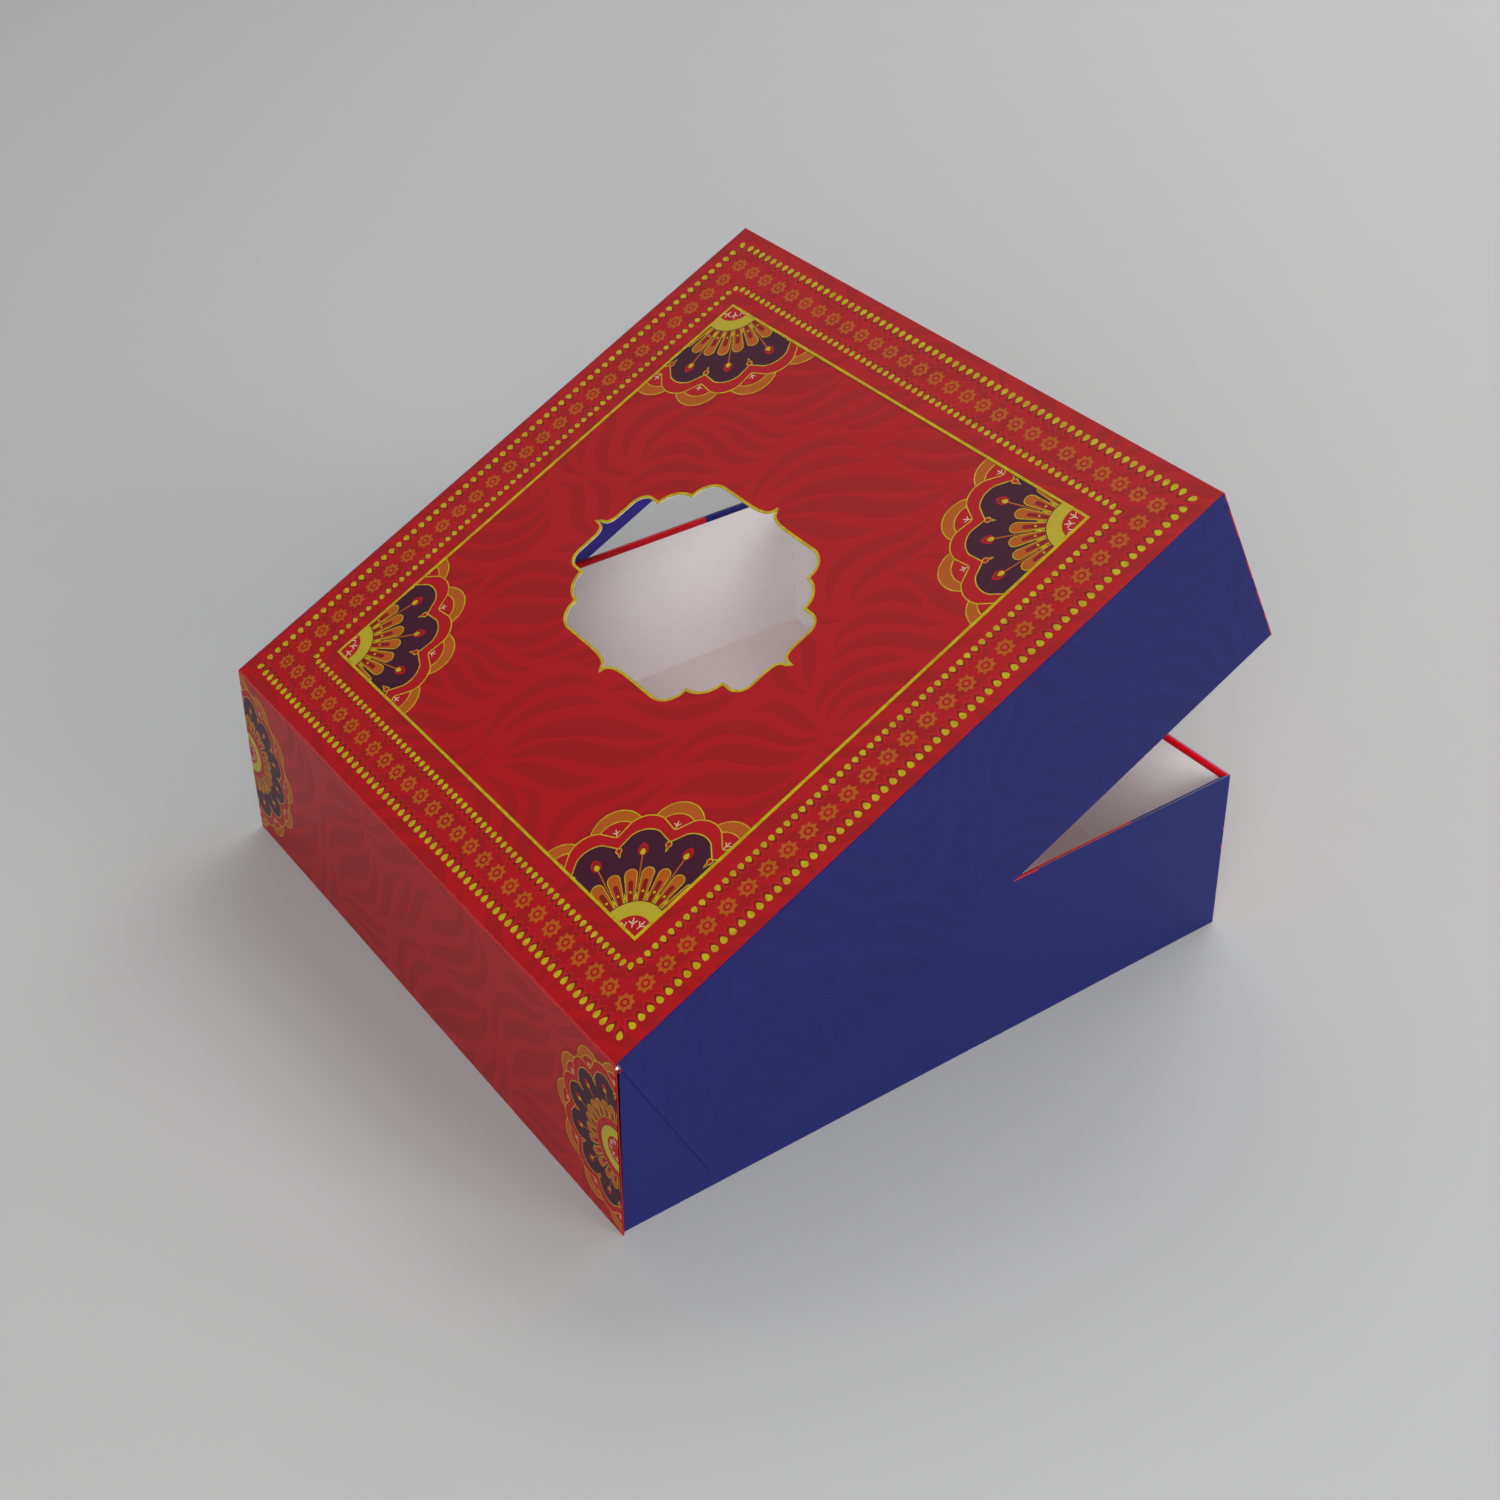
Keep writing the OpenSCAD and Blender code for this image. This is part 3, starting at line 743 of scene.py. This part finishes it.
def rosette_piece(name, face, body, middle, turn, size, trim, red_hub=False):
    """A rosette printed round a point of a face and trimmed by an outline."""
    mesh = bmesh.new()
    for step, (ink, shapes, holes) in enumerate(rosette_layers(red_hub)):
        placed = [moved(shape, middle[0], middle[1], turn, size) for shape in shapes]
        stamp(mesh, face, placed, SINK, layer(3 + step * 0.45), ROSETTE_INKS.index(ink), holes, trim)
    return print_piece(name, mesh, body, "red_print", *[INK[ink] for ink in ROSETTE_INKS])


INK = {}


# Operators.


# Soft round lamps: name, angle round the box from the lid's right, angle above the floor, share of full power.
LAMPS = (
    ("front_lamp", 270, 52, 0.38), ("front_right_lamp", 315, 52, 0.60), ("low_front_lamp", 292, 22, 0.52),
    ("low_left_lamp", 202, 22, 0.95), ("right_lamp", 0, 52, 0.13),
    ("rear_left_lamp", 150, 36, 0.45), ("rear_lamp", 138, 30, 1.45),
)


class SWEETBOX_OT_stage(bpy.types.Operator):
    """Makes the floor, the even light, the lamps and the camera"""

    bl_idname = "sweetbox.stage"
    bl_label = "Stage"

    def execute(self, context):
        settings = context.scene.sweet_box_stage
        context.scene.view_settings.view_transform = "Standard"
        self.camera(context, settings.lens)
        self.floor(context, settings.floor)
        self.sky(context, settings.sky)
        for name, compass, height, share in LAMPS:
            self.lamp(context, name, math.radians(compass), math.radians(height), share)
        return {"FINISHED"}

    def camera(self, context, lens):
        data = bpy.data.cameras.new("camera")
        data.lens, data.sensor_width = lens, 36
        data.clip_start, data.clip_end = 0.01, 20
        right = Vector((-0.5783664, -0.8157184, -0.0097890))
        down = Vector((-0.472712, 0.344897, -0.810919))
        forward = Vector((0.6648577, -0.4643809, -0.5850767))
        made = bpy.data.objects.new("camera", data)
        made.matrix_world = Matrix((right, -down, -forward)).transposed().to_4x4()
        made.location = (-0.48655, 0.32859, 0.47391)
        context.scene.collection.objects.link(made)
        context.scene.camera = made

    def floor(self, context, colour):
        mesh = bmesh.new()
        bmesh.ops.create_circle(mesh, cap_ends=True, segments=96, radius=6)
        data = bpy.data.meshes.new("floor")
        mesh.to_mesh(data)
        mesh.free()
        made, tree, shader = start_material("floor paper")
        finish_paper(tree, shader, opaque(colour), 0.7, 0.015, 0.01, 0.05, 0.02)
        shader.inputs["Specular IOR Level"].default_value = 0.2
        data.materials.append(made)
        floor = bpy.data.objects.new("floor", data)
        floor.location.z = -0.0001
        context.scene.collection.objects.link(floor)

    def sky(self, context, strength):
        world = bpy.data.worlds.new("even light")
        world.use_nodes = True
        backdrop = world.node_tree.nodes["Background"]
        backdrop.inputs["Color"].default_value = (1.0, 1.0, 1.0, 1)
        backdrop.inputs["Strength"].default_value = strength
        context.scene.world = world

    def lamp(self, context, name, compass, height, share):
        settings = context.scene.sweet_box_stage
        data = bpy.data.lights.new(name, "AREA")
        data.shape, data.size, data.energy = "DISK", settings.width, settings.power * share
        made = bpy.data.objects.new(name, data)
        level = math.cos(height)
        way = Vector((level * math.cos(compass), level * math.sin(compass), math.sin(height)))
        made.location = way * settings.distance
        aim = Vector((0, 0, 0.05)) - made.location
        made.rotation_euler = aim.to_track_quat("-Z", "Y").to_euler()
        context.scene.collection.objects.link(made)


def dress(node, material):
    """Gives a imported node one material."""
    slots = frame["nodes"][node].data.materials
    slots.clear()
    slots.append(material)


class SWEETBOX_OT_inks(bpy.types.Operator):
    """Builds the shared grain, crease and side groups and the inks of the ornament"""

    bl_idname = "sweetbox.inks"
    bl_label = "Inks"

    def execute(self, context):
        inks = context.scene.sweet_box_inks
        grain_group()
        crease_group()
        side_group()
        for ink in ("red", "orange", "purple", "deep_red", "sprig", "red_leaf", "blue_leaf", "halo"):
            INK[ink] = ink_material(ink.replace("_", " ") + " ink", getattr(inks, ink))
        INK["roll_red"] = ink_material("roll red ink", inks.roll_red, 0.36)
        INK["bare"] = ink_material("bare fibres", inks.board, 0.8)
        # Painted shadow ink for the rear left corner gap.
        INK["seam"] = ink_material("seam shade", inks.seam, 0.9, gloss=0.02)
        INK["pale_gold"] = ink_material("pale gold ink", inks.pale_gold, 0.38)
        INK["gold"] = ink_material("gold ink", inks.gold, 0.36, inks.gold_warm)
        INK["red_nick"] = ink_material("red nick ink", [part * 0.7 for part in inks.red_leaf])
        INK["blue_nick"] = ink_material("blue nick ink", [part * 0.7 for part in inks.blue_leaf])
        return {"FINISHED"}


class SWEETBOX_OT_red_panels(bpy.types.Operator):
    """Finishes the red panels: lid top, front flap, front wall, rear wall and the fold"""

    bl_idname = "sweetbox.red_panels"
    bl_label = "Red panels"

    def execute(self, context):
        inks = context.scene.sweet_box_inks
        lid_in = LID_TURN.to_3x3() @ Vector((0, 0, -1))
        flap_in = LID_TURN.to_3x3() @ Vector((0, 1, 0))
        dress("lid_panel", self.lid_material(inks, lid_in))
        flap = board_material("red flap board", inks.red, flap_in, inks.red_highlight, inner=inks.red)
        dress("lid_front_flap", flap)
        dress("lid_front_hem", board_material("red hem board", inks.red, -flap_in, inks.red_highlight))
        dress("rear_wall", board_material("red wall board", inks.red, (0, -1, 0), inks.red_highlight, 0.15))
        # Painted highlight: lilac on the front wall's top edge.
        edge = (inks.lilac, inks.lilac)
        front = board_material("red front board", inks.red, (0, 1, 0), inks.red_highlight, 0.4, edge, inks.blue)
        dress("front_wall_outer", front)
        # The hinge fold strip is all the lighter red, a painted highlight.
        dress("hinge_fold", board_material("red fold highlight board", inks.red_highlight, (0, -0.7, -0.7), inks.red_highlight, 0))
        return {"FINISHED"}

    def lid_material(self, inks, inward):
        """Red on both faces, blue at the very side edges, bare at the window's cut edge."""
        made, tree, shader = start_material("red lid board")
        facing = add(tree, "TexCoord")
        up = add(tree, "VectorMath", {0: facing.outputs["Normal"], 1: -inward}, operation="DOT_PRODUCT").outputs["Value"]
        upward = maths(tree, "GREATER_THAN", maths(tree, "ABSOLUTE", up), 0.5)
        where = add(tree, "SeparateXYZ", {0: facing.outputs["Object"]})
        aside = maths(tree, "ABSOLUTE", where.outputs["X"])
        at_side = maths(tree, "GREATER_THAN", aside, LID_HALF - 0.28 * MM)
        at_front = maths(tree, "LESS_THAN", where.outputs["Y"], (LID_TURN @ Vector((0, LID_FRONT + MM, LID_TOP))).y)
        rear = (LID_TURN @ Vector((0, LID_REAR - 0.6 * MM, LID_TOP))).y
        at_rear = maths(tree, "GREATER_THAN", where.outputs["Y"], rear)
        outer = maths(tree, "MAXIMUM", upward, at_side)
        outer = maths(tree, "MAXIMUM", outer, maths(tree, "MAXIMUM", at_front, at_rear))
        crease = use_group(tree, "Crease painted_light", Radius=0.0006, Amount=0.6).outputs["Mask"]
        # Painted highlight: the lighter red along the lid's front crease.
        printed = mixed(tree, maths(tree, "MULTIPLY", crease, at_front), opaque(inks.red), opaque(inks.red_highlight))
        printed = mixed(tree, at_side, printed, opaque(inks.edge_navy))
        bare = maths(tree, "SUBTRACT", 1.0, outer)
        colour = mixed(tree, bare, printed, opaque(inks.board))
        rough = ramp(tree, bare, 0, 1, 0.40, 0.78, smooth=False)
        finish_paper(tree, shader, colour, rough, 0.05, 0.05, 0.10, 0.25)
        shader.inputs["Specular IOR Level"].default_value = PRINT_GLOSS
        return made


class SWEETBOX_OT_blue_panels(bpy.types.Operator):
    """Finishes the blue panels: the lid's side flaps with their inner plies, and the tray's side walls"""

    bl_idname = "sweetbox.blue_panels"
    bl_label = "Blue panels"

    def execute(self, context):
        inks = context.scene.sweet_box_inks
        # Painted highlight: a paler blue for the creases of the blue panels.
        pale = [0.5 * a + 0.5 * b for a, b in zip(inks.blue, inks.blue_lining)]
        for side, inward in (("left", (1, 0, 0)), ("right", (-1, 0, 0))):
            name = f"blue {side} flap board"
            dress(f"lid_{side}_flap", board_material(name, inks.blue, inward, pale, 0.4, inner=inks.blue_lining))
            # The side walls' top edges get the painted sheen colours.
            edge = (inks.sheen_red, inks.sheen_navy)
            dress(f"{side}_wall_outer", board_material(f"blue {side} wall board", inks.blue, inward, pale, 0.4, edge))
            outward = tuple(-part for part in inward)
            dress(f"lid_{side}_hem", board_material(f"blue {side} lining", inks.blue_lining, outward, pale, 0.3))
        return {"FINISHED"}


class SWEETBOX_OT_rims(bpy.types.Operator):
    """Finishes the rolled rims of the double walls: red, and navy on the front part of the side ones"""

    bl_idname = "sweetbox.rims"
    bl_label = "Rolled rims"

    def execute(self, context):
        inks = context.scene.sweet_box_inks
        side = self.rim("side rim", inks.roll_red, inks.navy)
        dress("left_wall_roll", side)
        dress("right_wall_roll", side)
        dress("front_wall_roll", self.rim("front rim", inks.roll_red, inks.roll_red))
        return {"FINISHED"}

    def rim(self, name, red, forward_ink):
        """Glossy red, with another ink on the part that lies towards the front."""
        made, tree, shader = start_material(name)
        where = add(tree, "SeparateXYZ", {0: add(tree, "TexCoord").outputs["Object"]})
        forward = maths(tree, "LESS_THAN", where.outputs["Y"], NAVY_FROM)
        colour = mixed(tree, forward, opaque(red), opaque(forward_ink))
        finish_paper(tree, shader, colour, 0.42, 0.05, 0.06, 0.1, 0.3)
        shader.inputs["Specular IOR Level"].default_value = 0.12
        return made


class SWEETBOX_OT_bare_board(bpy.types.Operator):
    """Finishes the unprinted board: floor, inner walls and glue tabs"""

    bl_idname = "sweetbox.bare_board"
    bl_label = "Bare board"

    def execute(self, context):
        inks = context.scene.sweet_box_inks
        board = self.bare("bare board", inks.board)
        for name in frame["nodes"]:
            if name.endswith(("_inner", "_tab")):
                dress(name, board)
        # The tray floor gets the darker, pinker board as painted shade and red bounce light.
        dress("tray_floor", self.bare("floor board with painted shade", inks.floor_board_shaded))
        return {"FINISHED"}

    def bare(self, name, colour):
        """Uncoated board with fibres, a little darker at its creases as painted shade."""
        made, tree, shader = start_material(name)
        crease = use_group(tree, "Crease painted_light", Radius=0.0008, Amount=0.35).outputs["Mask"]
        # Painted shade: the board is darkened along its creases.
        shade = mixed(tree, crease, opaque(colour), opaque([part * 0.86 for part in colour]))
        finish_paper(tree, shader, shade, 0.78, 0.03, 0.10, 0.08, 0.45)
        shader.inputs["Specular IOR Level"].default_value = 0.3
        return made


class SWEETBOX_OT_film(bpy.types.Operator):
    """Finishes the clear film of the window and the glue that holds it under the lid"""

    bl_idname = "sweetbox.film"
    bl_label = "Window film"

    def execute(self, context):
        made, tree, shader = start_material("clear film")
        where = add(tree, "TexCoord").outputs["Object"]
        smears = add(tree, "TexNoise", {"Vector": where, "Scale": 30, "Detail": 4}).outputs[0]
        scuffs = add(tree, "TexNoise", {"Vector": where, "Scale": 1100, "Detail": 2}).outputs[0]
        tint = mixed(tree, scuffs, (0.02, 0.02, 0.02, 1), (0.05, 0.05, 0.05, 1))
        tree.links.new(tint, shader.inputs["Base Color"])
        tree.links.new(ramp(tree, smears, 0.3, 0.7, 0.04, 0.10), shader.inputs["Roughness"])
        tree.links.new(ramp(tree, scuffs, 0.50, 0.75, 0.012, 0.03), shader.inputs["Alpha"])
        shader.inputs["IOR"].default_value = 1.48
        dress("window_film", made)
        low, high = spread(shut_points("window_film"))
        corners = ((low.x, low.y), (high.x, low.y), (high.x, high.y), (low.x, high.y))
        sheet = grown([((x + LID_HALF) / MM, (LID_REAR - y) / MM) for x, y in corners], -0.3)
        under = (high.z - LID_TOP) / MM
        mesh = bmesh.new()
        stamp(mesh, LID_FACE, [sheet], under - 0.03, under - SINK, 0, [grown(window_outline(), 0.1)])
        print_piece("film_glue", mesh, "lid", "red_print", INK["red"])
        return {"FINISHED"}


def window_outline():
    """The window's cut edge in the lid panel, in millimetres across and down the lid."""
    top = {}
    for v in frame["nodes"]["lid_panel"].data.vertices:
        p = LID_TURN.inverted() @ v.co
        if p.z > LID_TOP - 1e-5 and abs(p.x) < 0.6 * LID_HALF and p.y < LID_REAR - 0.02 and p.y > LID_FRONT + 0.02:
            top[(round((p.x + LID_HALF) / MM, 3), round((LID_REAR - p.y) / MM, 3))] = True
    mid_x = sum(p[0] for p in top) / len(top)
    mid_y = sum(p[1] for p in top) / len(top)
    return sorted(top, key=lambda p: math.atan2(p[1] - mid_y, p[0] - mid_x))


class SWEETBOX_OT_leaves(bpy.types.Operator):
    """Prints the tone-on-tone leaves on the lid, its flaps and the rear wall"""

    bl_idname = "sweetbox.leaves"
    bl_label = "Leaves"

    def execute(self, context):
        red, blue = (INK["red_leaf"], INK["red_nick"]), (INK["blue_leaf"], INK["blue_nick"])
        lid = (LID_WIDTH, LID_LENGTH)
        leaf_piece(
            "lid_leaves", LID_FACE, "lid", "red_print", lid,
            lambda x, y: (x, y + 0.14), window_outline(), red, (LID_REAR - LID_BACK) / MM,
        )
        leaf_piece(
            "rear_leaves", REAR_FACE, "tray", "red_print", (LID_WIDTH, REAR_HEIGHT),
            lambda x, y: (x - 0.3, -0.3 - y), None, red,
        )
        leaf_piece(
            "front_flap_leaves", FRONT_FACE, "lid", "red_print", (LID_WIDTH, FLAP_DEPTH),
            lambda x, y: (x, y - LID_LENGTH), None, red,
        )
        start = (LID_REAR - FLAP_REAR) / MM
        for side, face in (("left", LEFT_FACE), ("right", RIGHT_FACE)):
            leaf_piece(
                f"{side}_flap_leaves", face.shifted(start, 0), "lid", "blue_print", (LID_LENGTH - start, FLAP_DEPTH),
                lambda x, y: (y + 0.3 - start, 98.86 - x), None, blue,
            )
        return {"FINISHED"}


def side_places(inset, corner, first, pitch, count):
    """Places of ornaments round the lid: x, y and the outward angle, with the corner ones at half turns."""
    width, length = LID_WIDTH, LID_LENGTH
    made = []
    for i in range(count):
        run = first + i * pitch
        made.append((run, inset, -90))
        made.append((width - run, length - inset, 90))
        made.append((inset, run * length / width, 180))
        made.append((width - inset, length - run * length / width, 0))
    for x, y, angle in ((0, 0, -135), (1, 0, -45), (1, 1, 45), (0, 1, 135)):
        made.append((corner + x * (width - 2 * corner), corner + y * (length - 2 * corner), angle))
    return made


class SWEETBOX_OT_drops(bpy.types.Operator):
    """Prints the two rows of drops round the lid with their shades and halos"""

    bl_idname = "sweetbox.drops"
    bl_label = "Drop rows"

    def execute(self, context):
        sizes = context.scene.sweet_box_print
        count = sizes.drops
        pitch = sizes.outer_pitch / MM
        outer_first = (LID_WIDTH - (count - 1) * pitch) / 2
        outer = side_places(sizes.outer_inset / MM, 6.35, outer_first, pitch, count)
        pitch = sizes.inner_pitch / MM
        inner_first = (LID_WIDTH - (count - 1) * pitch) / 2
        inner = side_places(sizes.inner_inset / MM, 21.3, inner_first, pitch, count)
        for name, places, length, width, point_in in (
            ("outer_drops", outer, 2.72, 2.12, True), ("inner_drops", inner, 2.35, 1.88, False),
        ):
            body = drop(length, width)
            shade = moved(drop(length * 1.42, width * 1.15), length * 0.21, 0)
            mesh = bmesh.new()
            for shape, step, ink in ((self.halo(shade), 1.6, 1), (shade, 2.2, 2), (body, 3, 0)):
                placed = [moved(shape, x, y, angle + (180 if point_in else 0)) for x, y, angle in places]
                stamp(mesh, LID_FACE, placed, SINK, layer(step), ink)
            print_piece(name, mesh, "lid", "red_print", INK["gold"], INK["halo"], INK["deep_red"])
        return {"FINISHED"}

    def halo(self, shade):
        """A thin line that runs at a small distance round the pointed half of a drop's shade."""
        outer, inner = grown(shade, 0.62), grown(shade, 0.38)
        kept = range(-7, 8)
        return [outer[k] for k in kept] + [inner[k] for k in reversed(kept)]


class SWEETBOX_OT_stars(bpy.types.Operator):
    """Prints the row of eight-pointed stars"""

    bl_idname = "sweetbox.stars"
    bl_label = "Star row"

    def execute(self, context):
        sizes = context.scene.sweet_box_print
        inset, count = sizes.star_inset / MM, sizes.star_count
        across = (LID_WIDTH - 2 * inset) / (count - 1)
        along = (LID_LENGTH - 2 * inset) / (count - 1)
        places = []
        for i in range(count):
            places += [(inset + i * across, inset), (inset + i * across, LID_LENGTH - inset)]
            if 0 < i < count - 1:
                places += [(inset, inset + i * along), (LID_WIDTH - inset, inset + i * along)]
        mesh = bmesh.new()
        whole = [moved(star(3.14, 2.2), x, y) for x, y in places]
        hollow = [moved(star(1.65, 1.3, hollow=0.08), x, y, 22.5) for x, y in places]
        middle = [disc(0.7, x, y, 14) for x, y in places]
        stamp(mesh, LID_FACE, whole, SINK, layer(3), 0, hollow)
        stamp(mesh, LID_FACE, middle, SINK, layer(3), 0)
        print_piece("stars", mesh, "lid", "red_print", INK["orange"])
        return {"FINISHED"}


class SWEETBOX_OT_lines(bpy.types.Operator):
    """Prints the gold frame line and the gold line round the window"""

    bl_idname = "sweetbox.lines"
    bl_label = "Gold lines"

    def execute(self, context):
        sizes = context.scene.sweet_box_print
        middle, half = sizes.frame_inset / MM, sizes.frame_width / MM / 2
        square = []
        for inset in (middle - half, middle + half):
            square.append([
                (inset, inset), (LID_WIDTH - inset, inset),
                (LID_WIDTH - inset, LID_LENGTH - inset), (inset, LID_LENGTH - inset),
            ])
        mesh = bmesh.new()
        stamp(mesh, LID_FACE, square[:1], SINK, layer(15.5), 0, square[1:])
        print_piece("frame_line", mesh, "lid", "red_print", INK["gold"])
        cut = window_outline()
        mesh = bmesh.new()
        stamp(mesh, LID_FACE, [grown(cut, sizes.window_line / MM)], -0.25, layer(3), 0, [grown(cut, -0.02)])
        print_piece("window_line", mesh, "lid", "red_print", INK["gold"])
        return {"FINISHED"}


class SWEETBOX_OT_rosettes(bpy.types.Operator):
    """Prints the four quarter rosettes of the lid and the two half rosettes of the rear wall"""

    bl_idname = "sweetbox.rosettes"
    bl_label = "Rosettes"

    def execute(self, context):
        edge = context.scene.sweet_box_print.frame_inset / MM
        far_x, far_y = LID_WIDTH - edge, LID_LENGTH - edge
        trim = [(edge, edge), (far_x, edge), (far_x, far_y), (edge, far_y)]
        for name, x, y, turn in (
            ("rear_left_rosette", edge + 1.9, edge - 0.4, 0), ("rear_right_rosette", far_x + 0.4, edge + 1.9, 90),
            ("front_right_rosette", far_x - 1.9, far_y + 0.4, 180), ("front_left_rosette", edge - 0.4, far_y - 1.9, 270),
        ):
            rosette_piece(name, LID_FACE, "lid", (x, y), turn, 1.0, trim)
        wall = [(0.1, 0.3), (LID_WIDTH - 0.1, 0.3), (LID_WIDTH - 0.1, REAR_HEIGHT), (0.1, REAR_HEIGHT)]
        rosette_piece("left_wall_rosette", REAR_FACE, "tray", (0.8, 31.0), 0, 0.70, wall, True)
        rosette_piece("right_wall_rosette", REAR_FACE, "tray", (LID_WIDTH - 0.8, 31.0), 0, 0.70, wall, True)
        return {"FINISHED"}


class SWEETBOX_OT_marks(bpy.types.Operator):
    """Adds small marks: print below the left rim, flecks, a painted shadow in the rear left corner gap and a nick in
    the fold
    """

    bl_idname = "sweetbox.marks"
    bl_label = "Edge marks"

    def execute(self, context):
        top = WALL_HIGH.z / MM
        mesh = bmesh.new()
        strip = [(-34.2, top - 0.42), (108.0, top - 0.42), (108.0, top), (-33.6, top)]
        stamp(mesh, WALL_FACE, [strip], SINK, layer(1))
        print_piece("rim_overprint", mesh, "tray", "edge_print", INK["roll_red"])
        mesh = bmesh.new()
        for z, half in ((38.6, 0.8), (31.2, 0.9)):
            edge = FRONT_FOOT + (FRONT_TOP - FRONT_FOOT) * z / top
            fleck = [(edge + 0.03, z - half), (edge + 0.36, z - half * 0.6), (edge + 0.36, z + half), (edge + 0.03, z + half)]
            stamp(mesh, WALL_FACE, [fleck], SINK, layer(1))
        print_piece("edge_flecks", mesh, "tray", "edge_print", INK["roll_red"])
        # A near black sheet on the left wall by the rear wall's edge: painted shadow in the corner gap.
        mesh = bmesh.new()
        foot = top - 46
        lean = (REAR_HEAD.y - REAR_TOP_Y) / REAR_HEAD.z
        rear_top, rear_foot = (WALL_HIGH.y / MM - lean * z - 0.05 for z in (top, foot))
        hidden = 0.62 * (LID_HALF + WALL_LOW.x) / MM
        seam = [(rear_top - hidden - 0.65, top), (rear_top, top), (rear_foot, foot), (rear_foot - hidden, foot)]
        stamp(mesh, WALL_FACE, [seam], SINK, layer(1))
        print_piece("corner_gap_shadow", mesh, "tray", "blue_print", INK["seam"])
        mesh = bmesh.new()
        bmesh.ops.create_icosphere(mesh, subdivisions=3, radius=0.42 * MM)
        for vert in mesh.verts:
            vert.co.x = min(0.0, vert.co.x) * 0.8
        bmesh.ops.translate(mesh, vec=NICK_PLACE, verts=mesh.verts)
        print_piece("fold_nick", mesh, "tray", "bare_board", INK["bare"])
        return {"FINISHED"}


class SWEETBOX_PT_panel(bpy.types.Panel):
    """Sidebar panel of the sweet box"""

    bl_idname = "SWEETBOX_PT_panel"
    bl_label = "Sweet box"
    bl_space_type = "VIEW_3D"
    bl_region_type = "UI"
    bl_category = "Sweet box"

    def draw(self, context):
        for step in STEPS:
            self.layout.operator(step.bl_idname)
        for group in (context.scene.sweet_box_stage, context.scene.sweet_box_inks, context.scene.sweet_box_print):
            box = self.layout.box()
            for key in group.bl_rna.properties.keys():
                if key not in ("rna_type", "name"):
                    box.prop(group, key)


GROUPS = (
    ("sweet_box_inks", SweetBoxInks), ("sweet_box_print", SweetBoxPrint), ("sweet_box_stage", SweetBoxStage),
)
STEPS = (
    SWEETBOX_OT_inks, SWEETBOX_OT_stage, SWEETBOX_OT_red_panels, SWEETBOX_OT_blue_panels, SWEETBOX_OT_rims,
    SWEETBOX_OT_bare_board, SWEETBOX_OT_film, SWEETBOX_OT_leaves, SWEETBOX_OT_drops, SWEETBOX_OT_stars,
    SWEETBOX_OT_lines, SWEETBOX_OT_rosettes, SWEETBOX_OT_marks,
)


def register():
    for key, group in GROUPS:
        bpy.utils.register_class(group)
        setattr(bpy.types.Scene, key, bpy.props.PointerProperty(type=group))
    for step in STEPS:
        bpy.utils.register_class(step)
    bpy.utils.register_class(SWEETBOX_PT_panel)


def unregister():
    bpy.utils.unregister_class(SWEETBOX_PT_panel)
    for step in reversed(STEPS):
        bpy.utils.unregister_class(step)
    for key, group in reversed(GROUPS):
        delattr(bpy.types.Scene, key)
        bpy.utils.unregister_class(group)


def main():
    register()
    for step in STEPS:
        group, call = step.bl_idname.split(".")
        getattr(getattr(bpy.ops, group), call)()


if __name__ == "__main__":
    main()
